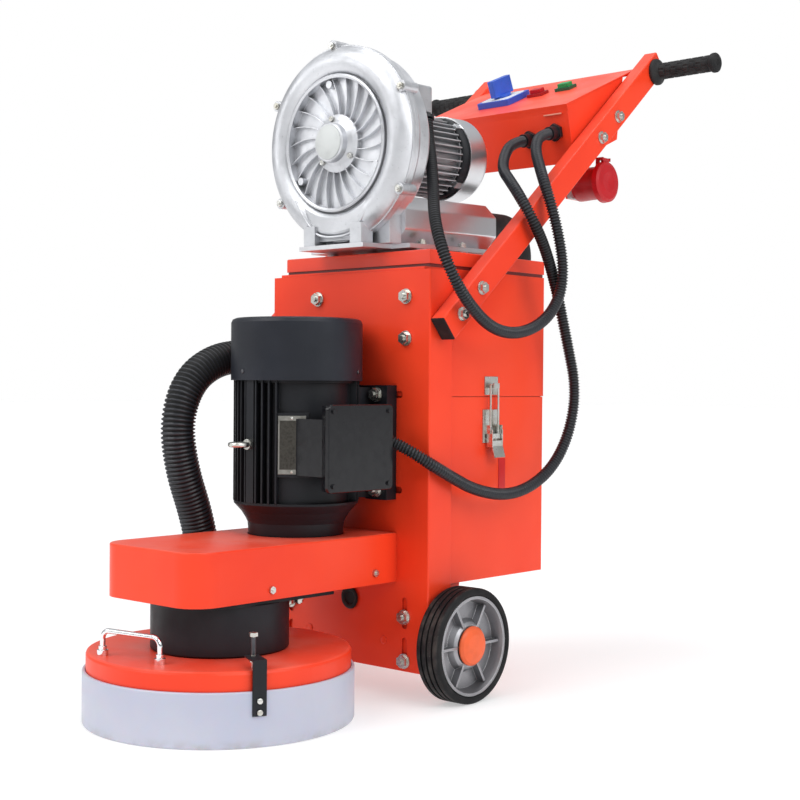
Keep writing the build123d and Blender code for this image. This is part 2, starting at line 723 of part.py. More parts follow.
def blower_front_housing():
    half = volute_half(-20, PARTING_Y) - tongue()
    half += turned_y([(168, 15), (176, 15), (176, PARTING_Y), (168, PARTING_Y)])
    floor = turned_y([(0, 14), (122, 14), (122, 19.5), (0, 19.5)])
    lip = turned_y([(116, -2), (120, -4), (123, -2), (123, 16), (116, 16)])
    hub = turned_y([(0, -16), (33, -16), (35, -14), (35, -2), (42, 3), (52, 6), (52, 15), (0, 15)])
    fins = []
    for i in range(FRONT_FINS):
        arc = ThreePointArc((50, 0), (84, 9), (118, 30))
        path = make_face(offset(arc, 0.8, side=Side.BOTH))
        fin = extrude(Plane.XZ * path, 10)
        fins.append(Rot(0, 360 / FRONT_FINS * i, 0) * Pos(0, 15, 0) * fin)
    bosses = []
    for angle in (98, 214, 334):
        x, z = 108 * cos(radians(angle)), 108 * sin(radians(angle))
        bosses.append(rod(7, (x, 2, z), (x, 15, z)))
    shape = half + [floor, lip, hub] + fins + bosses + blower_lugs(6, PARTING_Y) + front_foot()
    return in_blower(shape - impeller_room())


def blower_rear_housing():
    half = volute_half(PARTING_Y, 60) + turned_y([(168, PARTING_Y), (176, PARTING_Y), (176, 31),
                                                  (168, 31)])
    floor = turned_y([(30, 26.5), (124, 26.5), (124, 34), (60, 40), (60, 66), (30, 66)])
    belly = turned_y([(120, 40), (167, 40), (167, 66), (158, 78), (104, 78), (92, 66), (92, 40)])
    wall = turned_y([(90, 33), (100, 33), (100, 70), (90, 70)])
    belly -= box((-124, 124), (62, 90), (-200, -88))
    shape = half + [floor, belly, wall] + blower_lugs(PARTING_Y, 42)
    for side in (-1, 1):
        shape += box(sorted((side * 34.0, side * 104.0)), (31, 62), (SOLE_Z[1], -110))
    bore = turned_y([(0, 20), (BLOWER_SHAFT_R + 3, 20), (BLOWER_SHAFT_R + 3, 80), (0, 80)])
    seat = turned_y([(0, 52), (30, 52), (30, 80), (0, 80)])
    return in_blower(shape - impeller_room() - bore - seat)


def silencer(side):
    """Octagonal absorber along the motor, open at the rear."""
    outline = Pos(side * SILENCER_X, 0) * RegularPolygon(SILENCER_R, 8, major_radius=False,
                                                        rotation=22.5)
    face = Plane.XZ * outline
    body = Pos(0, 62, SILENCER_Z) * extrude(face, 260, dir=(0, 1, 0))
    body = fillet(body.edges().filter_by(Axis.Y), 6)
    x = side * SILENCER_X
    bore = rod(ELBOW_R - 5, (x, 200, ELBOW_Z), (x, 330, ELBOW_Z))
    return body - bore


def blower_silencers():
    """Pair of silencers with the sole plate and standoffs that carry them."""
    sole = box((-80, 80), (-12, 70), SOLE_Z) + box((-124, 124), (62, 300), SOLE_Z)
    shape = in_blower(silencer(-1) + silencer(1) + sole)
    for x, y in SOLE_BOLTS:
        foot = in_blower(Pos(x, y, SOLE_Z[0]) * Vertex()).center()
        shape += upright(11, (LID_Z[1], foot.Z + 2), foot.X, foot.Y)
    return shape


def blower_motor_housing():
    outline = Circle(63)
    for place in PolarLocations(68, 36):
        outline += place * Rectangle(16, 2.6)
    outline -= Circle(56)
    face = Plane.XZ * outline
    body = Pos(0, 78, 0) * extrude(face, 192, dir=(0, 1, 0))
    flange = turned_y([(30, 66), (88, 66), (88, 78), (74, 82), (56, 82), (56, 78), (30, 78)])
    shield = turned_y([(30, 270), (71, 270), (71, 278), (60, 285), (30, 285)])
    frame = body + flange + shield
    terminal = box((46, 102), (92, 150), (58, 109))
    terminal = fillet(terminal.edges().filter_by(Axis.Y), 6)
    neck = box((30, 60), (98, 146), (30, 74))
    frame += neck
    frame -= turned_y([(0, 82), (56, 82), (56, 270), (0, 270)])
    return group(in_blower(frame), in_blower(terminal))


def blower_fan_cover():
    cover = turned_y([(79, 288), (82, 288), (82, 333), (78, 341), (66, 345), (0, 345), (0, 342),
                      (65, 342), (76, 338), (79, 332)])
    slots = []
    for radius in (22, 34, 46, 58):
        band = turned_y([(radius - 3.5, 330), (radius + 3.5, 330), (radius + 3.5, 350),
                         (radius - 3.5, 350)])
        for i in range(6):
            slots.append(band & (Rot(0, 60 * i + 4, 0) * wedge_y(52)))
    cover -= slots
    tabs = [Rot(0, 90 * i + 45, 0) * box((71.1, 80.5), (271, 300), (-6, 6)) for i in range(4)]
    return in_blower(cover + tabs)


def wedge_y(angle):
    """Wedge of the given angle round the Y axis, for slots cut in arcs."""
    corners = [(0, 0), (200, 0), (200 * cos(radians(angle)), 200 * sin(radians(angle)))]
    face = Plane.XZ * make_face(Polyline(corners, close=True))
    return Pos(0, 310, 0) * extrude(face, 60, dir=(0, 1, 0))


def blower_impeller():
    disc = turned_y([(BLOWER_SHAFT_R, 20.5), (130, 20.5), (130, 25.5), (BLOWER_SHAFT_R, 25.5)])
    blade = box((127, 166), (14, 32), (-1.2, 1.2))
    blades = [Rot(0, 9 * i, 0) * blade for i in range(40)]
    web = turned_y([(128, 20.5), (150, 20.5), (150, 25.5), (128, 25.5)])
    return in_blower(disc + web + blades)


def blower_rotor():
    shaft = rod(BLOWER_SHAFT_R, (0, 20.5, 0), (0, 318, 0))
    core = rod(40, (0, 110, 0), (0, 240, 0))
    hub = rod(24, (0, 296, 0), (0, 316, 0))
    blade = box((20, 70), (296, 322), (-1.2, 1.2))
    blades = [Rot(0, 45 * i, 0) * blade for i in range(8)]
    return in_blower(shaft + core + hub + blades)


def blower_suction_elbow():
    """Moulded rubber bend from the right silencer down into the rear of the filter box."""
    x = BLOWER_AT[0] + SILENCER_X
    start = in_blower(Pos(SILENCER_X, 322.1, ELBOW_Z) * Vertex()).center()
    route = [(x, start.Y, start.Z), (x, 416, start.Z + 2), (x, 416, 700), (x, BOX_REAR, 700)]
    path = FilletPolyline(*route, radius=52)
    plane = Plane(origin=path @ 0, z_dir=path % 0)
    outer = sweep(plane * Circle(ELBOW_R), path=path)
    inner = sweep(plane * Circle(ELBOW_R - 5), path=path)
    cuff = rod(ELBOW_R + 5, (x, BOX_REAR, 700), (x, BOX_REAR + 18, 700))
    bore = rod(ELBOW_R - 5, (x, BOX_REAR - 2, 700), (x, BOX_REAR + 30, 700))
    return outer + cuff - inner - bore


# ---- handle arms and controls ----------------------------------------------------------
def handle_arms():
    length = hypot(ARM_END[0] - ARM_START[0], ARM_END[1] - ARM_START[1])
    width = ARM_X[1] - ARM_X[0]
    section = RectangleRounded(width, ARM_DEPTH, 3)
    hollow = RectangleRounded(width - 2 * ARM_WALL, ARM_DEPTH - 2 * ARM_WALL, 1)
    arm = extrude(section, length) - Pos(0, 0, -1) * extrude(hollow, length - 2)
    slope = radians(ARM_SLOPE)
    along = (0, cos(slope), sin(slope))
    place = Plane(origin=(sum(ARM_X) / 2, ARM_START[0], ARM_START[1]), x_dir=(1, 0, 0), z_dir=along)
    arm = place * arm
    spacer = rod(11, (BOX_HALF, 103, 721), (ARM_X[0], 103, 721))
    return group(both_sides(arm), both_sides(spacer))


def handle_grips():
    """Rubber grips with end flanges on stub bars that go out from the arms."""
    y, z = GRIP_AT
    profile = [(ARM_X[1], 0), (GRIP_END, 0), (GRIP_END, 15), (GRIP_END - 3, 19.5),
               (GRIP_END - 9, 19.5), (GRIP_END - 13, 16.5), (ARM_X[1] + 13, 16.5),
               (ARM_X[1] + 9, 26.5), (ARM_X[1], 26.5)]
    return group(both_sides(Pos(0, y, z) * turned_x(profile)))


def panel_block(x, distance, height):
    """Block in the control panel's own directions between the two values of each pair."""
    return on_panel(0, 0, 0) * box(x, distance, height)


# Side view of the control box under its panel, as (y, z): front, bottom and rear.
CONTROL_SIDE = [PANEL_FRONT, (424.0, 982.0), (572.0, 1046.0), (592.0, 1178.8)]
GLANDS = [(99.0, 1035.0), (162.0, 1042.0)]


def control_box():
    """Tilted tub between the arms, its overhanging panel and the inlet's bracket."""
    half = CONTROL_HALF
    drop = PANEL_SHEET
    outline = make_face(Plane.YZ * Polyline(CONTROL_SIDE, close=True))
    tub = Pos(-half, 0, 0) * extrude(outline, 2 * half, dir=(1, 0, 0))
    tub -= Pos(2 - half, 0, 0) * extrude(offset(outline, -2), 2 * half - 4, dir=(1, 0, 0))
    tub -= panel_block((-250, 250), (-50, 300), (-drop, 50))
    for x, z in GLANDS:
        tub -= rod(8, (x, 395, z), (x, 425, z))
    panel = panel_block((-half - 1, half + 1), (-2, PANEL_LENGTH), (-drop, 0))
    for x, distance in (STOP_AT, START_AT):
        panel -= on_panel(x, distance, 0) * Box(22, 14, 20)
    panel -= on_panel(*SWITCH_AT, 0) * Cylinder(9.3, 20)
    panel += panel_block((-half - 1, half + 1), (-2, -0.2), (-14, -1))
    panel += panel_block((-half, half), (PANEL_LENGTH - 2, PANEL_LENGTH), (-12, -1))
    near, far = INLET_Y - INLET_BASE, INLET_Y + INLET_BASE
    strap = [(near, INLET_Z - INLET_BASE), (far, INLET_Z - INLET_BASE), (far, 1037), (near, 1022)]
    bracket = side_plate(strap, (107, 110)) - Pos(-half, 0, 0) * extrude(outline, 2 * half, dir=(1, 0, 0))
    return group(tub, panel, bracket)


SWITCH_AT = (-38.0, 116.0)
STOP_AT = (34.0, 138.0)
START_AT = (92.0, 156.0)
SWITCH_TURN = -5.0
PLATE_SIDE = 82.0


def switch_plates():
    """Square escutcheon of the rotary switch and the bezels of the two buttons."""
    x, s = SWITCH_AT
    plate = fillet(Box(PLATE_SIDE, PLATE_SIDE, 12).edges().filter_by(Axis.Z), 5)
    plate = on_panel(x, s, 0) * Pos(0, 0, 6) * plate
    shapes = [plate - on_panel(x, s, 0) * Pos(0, 0, 6) * Cylinder(9.3, 30)]
    for x, s in (STOP_AT, START_AT):
        bezel = on_panel(x, s, 0) * Pos(0, 0, 3) * Box(36, 28, 6)
        shapes.append(bezel - on_panel(x, s, 0) * Pos(0, 0, 3) * Box(26, 18, 20))
    return group(shapes)


def switch_handle():
    x, s = SWITCH_AT
    collar = Pos(0, 0, 15.5) * Cylinder(18, 5)
    post = Pos(0, 0, 4) * Cylinder(9, 20)
    grip = Pos(0, 0, 34) * Box(17, 60, 34)
    grip = fillet(grip.edges().filter_by(Axis.Z), 5)
    shape = collar + post + grip
    return on_panel(x, s, 0) * Rot(0, 0, SWITCH_TURN) * shape


def push_button(x, s):
    """Rectangular cap with a stem that goes down through the panel."""
    cap = Pos(0, 0, 9) * Box(25, 17, 10)
    cap = fillet(cap.edges().group_by(Axis.Z)[-1], 1.5)
    return on_panel(x, s, 0) * (cap + Pos(0, 0, -3) * Box(20, 12, 16))




def power_inlet():
    """Round plug inlet on its square base, facing outwards."""
    side = INLET_BASE
    base = box((110, 121), (INLET_Y - side, INLET_Y + side), (INLET_Z - side, INLET_Z + side))
    base = fillet(base.edges().filter_by(Axis.X), 6)
    body = turned_x([(121, 0), (121, 34), (132, 34), (150, 33), (176, 33), (176, 28), (140, 28),
                     (140, 0)])
    pins = []
    for angle, reach in ((0, 16), (72, 16), (144, 16), (216, 16), (288, 16)):
        y, z = reach * cos(radians(angle)), reach * sin(radians(angle))
        pins.append(rod(3, (139, y, z), (168, y, z)))
    for near, far in ((-14, -10.5), (10.5, 14)):
        body += box((168, 176), (near, far), (30, 49)) + box((176, 185), (near, far), (42.5, 49))
    hinge = rod(2, (181, -14, 45), (181, 14, 45))
    shape = body + pins + hinge
    return group(base, Pos(0, INLET_Y, INLET_Z) * shape)


def inlet_cap():
    """Hinged splash cap over the inlet."""
    cap = turned_x([(176.5, 30), (178.5, 30), (178.5, 0), (188, 0), (191, 20), (190, 34), (187, 40),
                    (176.5, 41)])
    knuckle = rod(4, (181, -10, 45), (181, 10, 45)) + box((178, 184), (-10, 10), (36, 45))
    knuckle -= rod(2 + RUN_GAP, (181, -20, 45), (181, 20, 45))
    return Pos(0, INLET_Y, INLET_Z) * (cap + knuckle)


# ---- toggle latches --------------------------------------------------------------------
def latch_part(make, side):
    shape = make()
    return shape if side > 0 else mirror(shape, Plane.YZ)


def latch_plates():
    px, pz = LATCH_PIVOT
    y = LATCH_Y
    base = box((BOX_HALF, BOX_HALF + 2), (y - 24, y + 24), (446, 506))
    for low, high in ((y - 18, y - 16), (y + 16, y + 18)):
        base += box((BOX_HALF + 1, px + 5), (low, high), (pz - 8, pz + 8))
    pins = [rod(2.5, (px, y + s * 13.5, pz), (px, y + s * 19, pz)) for s in (-1, 1)]
    keeper = box((BOX_HALF, BOX_HALF + 2), (y - 19, y + 19), (533, 566))
    seat_z = LATCH_BAR_Z - 2.3
    hook = box((BOX_HALF + 1, px + 5.5), (y - 8, y + 8), (seat_z - 3, seat_z))
    hook += box((px + 3, px + 5.5), (y - 8, y + 8), (seat_z - 3, LATCH_BAR_Z + 4))
    shape = group(base + pins, keeper + hook)
    return group(both_sides(shape))


def latch_lever():
    """Handle of the toggle: side cheeks on the pivot pins and a flared tip."""
    px, pz = LATCH_PIVOT
    y = LATCH_Y
    profile = [(px + 8.2, pz - 20), (px + 8.2, pz - 30), (px + 14, pz - 50), (px + 12, pz - 51),
               (px + 6.2, pz - 31), (px + 6.2, pz - 20)]
    face = make_face(Plane.XZ * Polyline(profile, close=True))
    plate = Pos(0, y + 15.4, 0) * extrude(face, 30.8, dir=(0, -1, 0))
    for low, high in ((y - 15.4, y - 13.4), (y + 13.4, y + 15.4)):
        plate += rod(6, (px, low, pz), (px, high, pz))
        plate += box((px - 5, px + 8.2), (low, high), (pz - 32, pz))
    plate -= rod(2.5 + RUN_GAP, (px, y - 30, pz), (px, y + 30, pz))
    crank = rod(2.0, (px, y - 15, pz - LATCH_CRANK), (px, y + 15, pz - LATCH_CRANK))
    return plate + crank


def latch_bail():
    """Wire bail from the lever up over the keeper hook, with threaded tension rods."""
    px, pz = LATCH_PIVOT
    y = LATCH_Y
    low = pz - LATCH_CRANK
    block = box((px - 4.5, px + 4.5), (y - 12.6, y + 12.6), (low - 4.5, low + 4.5))
    block -= rod(2.0 + RUN_GAP, (px, y - 30, low), (px, y + 30, low))
    bar = rod(2, (px, y - 12.2, LATCH_BAR_Z), (px, y + 12.2, LATCH_BAR_Z))
    rods = [upright(2, (low + 3, LATCH_BAR_Z), px, y + s * 11.2) for s in (-1, 1)]
    return block + bar + rods


# ---- fasteners, glands -----------------------------------------------------------------
def eyebolt():
    y = MOTOR_Y - MOTOR_CORE_R - 13
    collar = rod(9, (0, y, 448), (0, y - 7, 448))
    eye = Pos(0, y - 24, 448) * Torus(14, 4.4)
    return collar + eye


def fasteners():
    shapes = []
    for x, z in PLATE_NUTS:
        shapes.append(bolt((x, 0, z), (0, -1, 0), 12))
    for side in (-1, 1):
        for z in AXLE_BOLTS_Z:
            shapes.append(bolt((side * AXLE_BOLT_X, 0, z), (0, -1, 0), 12))
        for z in FOOT_BOLTS_Z:
            shapes.append(bolt((side * FOOT_X, -25, z), (0, -1, 0), 12))
        outside = side * ARM_X[1]
        for y, z in ((49, 673), (103, 721), (471, 1033), (528, 1082)):
            shapes.append(bolt((outside, y, z), (side, 0, 0), 11))
        for y, z in ((-297, 221), (-55, 225)):
            shapes.append(bolt((side * GUARD_HALF, y, z), (side, 0, 0), 7, washer=False))
    for x, y in ((-FLANGE_BOLT[0], FLANGE_BOLT[1]), FLANGE_BOLT):
        shapes.append(bolt((x, y, 197), (0, 0, -1), 8))
    for x, y in SOLE_BOLTS:
        shapes.append(in_blower(bolt((x, y, SOLE_Z[1]), (0, 0, 1), 9)))
    for degrees in LUG_ANGLES:
        at = (LUG_R * cos(radians(degrees)), 6, LUG_R * sin(radians(degrees)))
        shapes.append(in_blower(bolt(at, (0, -1, 0), 7, washer=False)))
    shapes.append(eyebolt())
    shapes.extend(guide_studs())
    return group(shapes)


def gland(mouth, wall):
    """Cable gland between a conduit's end and the wall it passes: a hexagon and its nut."""
    direction = Vector(*mouth) - Vector(*wall)
    foot = hexagon(wall, direction, 2 * CONDUIT_R + 9, 8)
    return foot + rod(CONDUIT_R + 2.5, wall, mouth)


def glands_and_cuffs():
    """Cable glands of both conduits and the end cuffs of the suction hose."""
    shapes = [
        gland(MOTOR_CONDUIT_ROUTE[0], (99, 410.8, 1035)),
        gland(BLOWER_CONDUIT_ROUTE[0], (162, 409.1, 1042)),
    ]
    elbow = rod(CONDUIT_R + 2.5, (124, -70.9, 469), MOTOR_CONDUIT_ROUTE[-1])
    shapes.append(elbow - box(TERMINAL_X, (-120, TERMINAL_Y[1]), TERMINAL_Z))
    riser = rod(CONDUIT_R + 2.5, (91.9, 108.1, 1032.5), (87.3, 111.5, 1052))
    shapes.append(riser - box((50, 150), (60, 160), (1041.9, 1100)))
    shapes.append(ring(HOSE_R + 4, HOSE_R, (128, 160), *HOSE_PORT))
    cuff = rod(HOSE_R + 4, (-150, -20, 600), (-150, 0, 600))
    pipe = rod(HOSE_R + 1.9, (-150, 0, 600), (-150, 16, 600))
    shapes.append(cuff + pipe - rod(HOSE_R - 3, (-150, -30, 600), (-150, 30, 600)))
    return group(shapes)


def motor_conduit():
    return cord("motor_conduit", MOTOR_CONDUIT_ROUTE, CONDUIT_R)


def blower_conduit():
    return cord("blower_conduit", BLOWER_CONDUIT_ROUTE, CONDUIT_R)


def suction_hose():
    return cord("suction_hose", SUCTION_HOSE_ROUTE, HOSE_R)


# ---- all sub-parts ---------------------------------------------------------------------
NODES = {
    "front_plate": front_plate,
    "axle_brackets": axle_brackets,
    "wheel_axle": wheel_axle,
    "left_tyre": lambda: wheel_part(tyre, -1),
    "left_rim": lambda: wheel_part(rim, -1),
    "left_hub_cap": lambda: wheel_part(hub_cap, -1),
    "right_tyre": lambda: wheel_part(tyre, 1),
    "right_rim": lambda: wheel_part(rim, 1),
    "right_hub_cap": lambda: wheel_part(hub_cap, 1),
    "filter_box": filter_box,
    "dust_bin": dust_bin,
    "top_lid": top_lid,
    "filter_cartridge": filter_cartridge,
    "disc_cover": disc_cover,
    "lift_handle": lift_handle,
    "spindle_housing": spindle_housing,
    "belt_case_base": belt_case_base,
    "belt_guard": belt_guard,
    "drive_belts": drive_belts,
    "spindle_shaft": spindle_shaft,
    "grinding_disc": grinding_disc,
    "grinding_heads": grinding_heads,
    "skirt_ring": skirt_ring,
    "skirt_brackets": skirt_brackets,
    "motor_housing": motor_housing,
    "motor_fan_cover": motor_fan_cover,
    "motor_terminal_box": motor_terminal_box,
    "motor_stator": motor_stator,
    "motor_rotor": motor_rotor,
    "motor_fan": motor_fan,
    "motor_pulley": motor_pulley,
    "bearings": bearings,
    "blower_front_housing": blower_front_housing,
    "blower_rear_housing": blower_rear_housing,
    "blower_silencers": blower_silencers,
    "blower_motor_housing": blower_motor_housing,
    "blower_fan_cover": blower_fan_cover,
    "blower_impeller": blower_impeller,
    "blower_rotor": blower_rotor,
    "blower_suction_elbow": blower_suction_elbow,
    "handle_arms": handle_arms,
    "handle_grips": handle_grips,
    "control_box": control_box,
    "switch_plates": switch_plates,
    "switch_handle": switch_handle,
    "stop_button": lambda: push_button(*STOP_AT),
    "start_button": lambda: push_button(*START_AT),
    "power_inlet": power_inlet,
    "inlet_cap": inlet_cap,
    "latch_plates": latch_plates,
    "left_latch_lever": lambda: latch_part(latch_lever, -1),
    "left_latch_bail": lambda: latch_part(latch_bail, -1),
    "right_latch_lever": lambda: latch_part(latch_lever, 1),
    "right_latch_bail": lambda: latch_part(latch_bail, 1),
    "fasteners": fasteners,
    "glands_and_cuffs": glands_and_cuffs,
    "motor_conduit": motor_conduit,
    "blower_conduit": blower_conduit,
    "suction_hose": suction_hose,
}


def main():
    os.makedirs("parts", exist_ok=True)
    for name, make in NODES.items():
        shape = Pos(0, -ORIGIN_Y, 0) * make()
        export_step(shape, f"parts/{name}.step")


main()
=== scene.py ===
import math

import bmesh
import bpy
from mathutils import Matrix, Vector


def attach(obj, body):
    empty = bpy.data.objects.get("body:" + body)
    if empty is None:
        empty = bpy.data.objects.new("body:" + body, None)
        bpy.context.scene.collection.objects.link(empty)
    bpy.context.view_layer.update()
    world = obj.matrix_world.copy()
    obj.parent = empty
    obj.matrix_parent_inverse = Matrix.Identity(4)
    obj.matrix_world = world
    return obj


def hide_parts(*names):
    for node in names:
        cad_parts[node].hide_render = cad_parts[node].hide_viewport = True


# Looks of the walk-behind concrete grinder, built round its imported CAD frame.
# Points are written in millimetres, with Y counted from the front face of the frame plate, and
# mm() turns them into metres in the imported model's frame.

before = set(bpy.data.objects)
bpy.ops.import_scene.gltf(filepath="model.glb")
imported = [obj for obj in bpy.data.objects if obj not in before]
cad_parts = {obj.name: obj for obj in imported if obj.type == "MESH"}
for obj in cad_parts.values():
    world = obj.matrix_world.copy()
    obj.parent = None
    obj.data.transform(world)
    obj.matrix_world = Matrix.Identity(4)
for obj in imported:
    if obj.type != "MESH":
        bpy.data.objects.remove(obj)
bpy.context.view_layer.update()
scene = bpy.context.scene
scene.view_settings.view_transform = "Standard"

ORIGIN_Y = 88.0             # distance from the frame plate's face back to the model's origin


def mm(x, y, z):
    return Vector((x, y - ORIGIN_Y, z)) / 1000


# ---- camera ----------------------------------------------------------------------------
CAMERA_AT = mm(1783.1, -1841.0, 552.8)
CAMERA_AZIMUTH = math.radians(41.96)
CAMERA_PITCH = math.radians(-0.68)
CAMERA_ROLL = math.radians(0.42)
CAMERA_LENS = 63.76
SENSOR_WIDTH = 36
FAR_CLIP = 100


def make_camera():
    data = bpy.data.cameras.new("camera")
    data.lens = CAMERA_LENS
    data.sensor_width = SENSOR_WIDTH
    data.clip_end = FAR_CLIP
    camera = bpy.data.objects.new("camera", data)
    scene.collection.objects.link(camera)
    upright = math.radians(90) + CAMERA_PITCH
    turn = Matrix.Rotation(CAMERA_AZIMUTH, 4, "Z") @ Matrix.Rotation(upright, 4, "X")
    roll = Matrix.Rotation(CAMERA_ROLL, 4, "Z")
    camera.matrix_world = Matrix.Translation(CAMERA_AT) @ turn @ roll
    scene.camera = camera


make_camera()


# ---- mesh helpers ----------------------------------------------------------------------
def add_object(name, data):
    piece = bpy.data.objects.new(name, data)
    scene.collection.objects.link(piece)
    return piece


def add_mesh(name, points, faces, material, body="frame", smooth=True):
    mesh = bpy.data.meshes.new(name)
    mesh.from_pydata([tuple(p) for p in points], [], faces)
    mesh.validate()
    bm = bmesh.new()
    bm.from_mesh(mesh)
    bmesh.ops.recalc_face_normals(bm, faces=bm.faces)
    bm.to_mesh(mesh)
    bm.free()
    if smooth:
        mesh.shade_smooth()
    piece = add_object(name, mesh)
    mesh.materials.append(material)
    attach(piece, body)
    return piece


def bevelled(piece, width, segments=3, angle=35):
    bevel = piece.modifiers.new("edges", "BEVEL")
    bevel.width = width
    bevel.segments = segments
    bevel.limit_method = "ANGLE"
    bevel.angle_limit = math.radians(angle)
    piece.modifiers.new("normals", "WEIGHTED_NORMAL")
    return piece


def slab(name, centre, axes, size, material, edge, body="frame"):
    """Rounded block: its middle, three unit axes, its size along them, all in metres."""
    points = []
    for i in (-0.5, 0.5):
        for j in (-0.5, 0.5):
            for k in (-0.5, 0.5):
                points.append(centre + axes[0] * size[0] * i + axes[1] * size[1] * j
                              + axes[2] * size[2] * k)
    faces = [(0, 1, 3, 2), (4, 6, 7, 5), (0, 4, 5, 1), (2, 3, 7, 6), (0, 2, 6, 4), (1, 5, 7, 3)]
    return bevelled(add_mesh(name, points, faces, material, body), edge)


def rings_to_faces(rings, around, close_ends=True):
    faces = []
    for k in range(rings - 1):
        for j in range(around):
            a = k * around + j
            b = k * around + (j + 1) % around
            faces.append((a, b, b + around, a + around))
    if close_ends:
        faces.append(tuple(range(around)))
        faces.append(tuple(range((rings - 1) * around, rings * around)))
    return faces


# ---- cords -----------------------------------------------------------------------------
MOTOR_CONDUIT = [
    (99, 387, 1029), (99, 349, 1019.5), (112, 310, 988), (140, 270, 955), (190, 229, 925),
    (225, 212, 893), (248, 221, 850), (243, 268, 800), (234, 316, 728), (237, 347, 630),
    (243, 368, 545), (243, 350, 466), (238, 308, 402), (230, 246, 364), (223, 176, 352),
    (218, 98, 366), (216, 44, 388), (209, -4, 412), (190, -34, 434), (166, -46, 448),
    (150, -55.5, 456),
]
BLOWER_CONDUIT = [
    (162, 385, 1036), (162, 352, 1028), (180, 318, 994), (212, 290, 955), (236, 270, 925),
    (252, 272, 880), (259, 286, 826), (262, 297, 770), (259, 295, 720), (256, 262, 676),
    (253, 211, 650), (253, 150, 641), (254, 90, 652), (253, 38, 686), (250, 0, 728),
    (232, -14, 782), (200, 4, 836), (163, 44, 890), (128, 80, 946), (100, 102, 998),
    (92, 108, 1032),
]
SUCTION_HOSE = [
    (-153, -203, 160), (-153, -203, 236), (-152, -224, 318), (-151, -258, 400), (-150, -272, 482),
    (-150, -246, 552), (-150, -190, 590), (-150, -120, 601), (-150, -66, 600), (-150, -20, 600),
]


def spline_line(route):
    """Points along the NURBS spline whose control points are the route's."""
    curve = bpy.data.curves.new("route", "CURVE")
    curve.dimensions = "3D"
    curve.resolution_u = 24
    spline = curve.splines.new("NURBS")
    spline.points.add(len(route) - 1)
    for point, where in zip(spline.points, route):
        point.co = (*mm(*where), 1)
    spline.order_u = 3
    spline.use_endpoint_u = True
    holder = add_object("route", curve)
    bpy.context.view_layer.update()
    evaluated = holder.evaluated_get(bpy.context.evaluated_depsgraph_get())
    mesh = bpy.data.meshes.new_from_object(evaluated)
    line = [vertex.co.copy() for vertex in mesh.vertices]
    bpy.data.objects.remove(holder)
    bpy.data.meshes.remove(mesh)
    bpy.data.curves.remove(curve)
    return line


def frames_along(line, step):
    """(point, side, up, distance) at equal steps along a line, turning as little as possible."""
    total = sum((b - a).length for a, b in zip(line, line[1:]))
    count = max(2, round(total / step))
    spacing = total / count
    found = []
    side = None
    walked = 0.0
    wanted = 0.0
    for a, b in zip(line, line[1:]):
        run = (b - a).length
        along = (b - a).normalized()
        while wanted <= walked + run + 1e-9 and len(found) <= count:
            point = a + along * (wanted - walked)
            if side is None:
                side = along.orthogonal().normalized()
            side = (side - along * side.dot(along)).normalized()
            found.append((point, side, along.cross(side), wanted))
            wanted += spacing
        walked += run
    return found, total


RIB_PROFILE = (1.0, 0.05, 0.0, 0.85)    # how deep each ring of a rib lies, as a share of its depth
SHADED_VALLEY_STRIPS = (0, 3)                  # strips of a rib, between rings, that lie in the valley and get the painted shade


def corrugated(name, route, radius, pitch, depth, around, length):
    """Corrugated tube with grey crests, and black painted shade in the valleys between ribs, along
    the route's own spline.
    """
    rings = len(RIB_PROFILE)
    steps, _ = frames_along(spline_line(route), pitch / rings)
    points = []
    for index, (point, side, up, _) in enumerate(steps):
        r = radius - RIB_PROFILE[index % rings] * depth
        for j in range(around):
            angle = math.tau * j / around
            points.append(point + side * r * math.cos(angle) + up * r * math.sin(angle))
    faces = rings_to_faces(len(steps), around)
    tube = add_mesh(name + "_ribbed", points, faces, rib_crests)
    # second slot: near-black painted shade for the valley strips
    tube.data.materials.append(rib_valley_shade)
    for face in tube.data.polygons:
        if face.index // around % rings in SHADED_VALLEY_STRIPS:
            face.material_index = 1
    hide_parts(name)


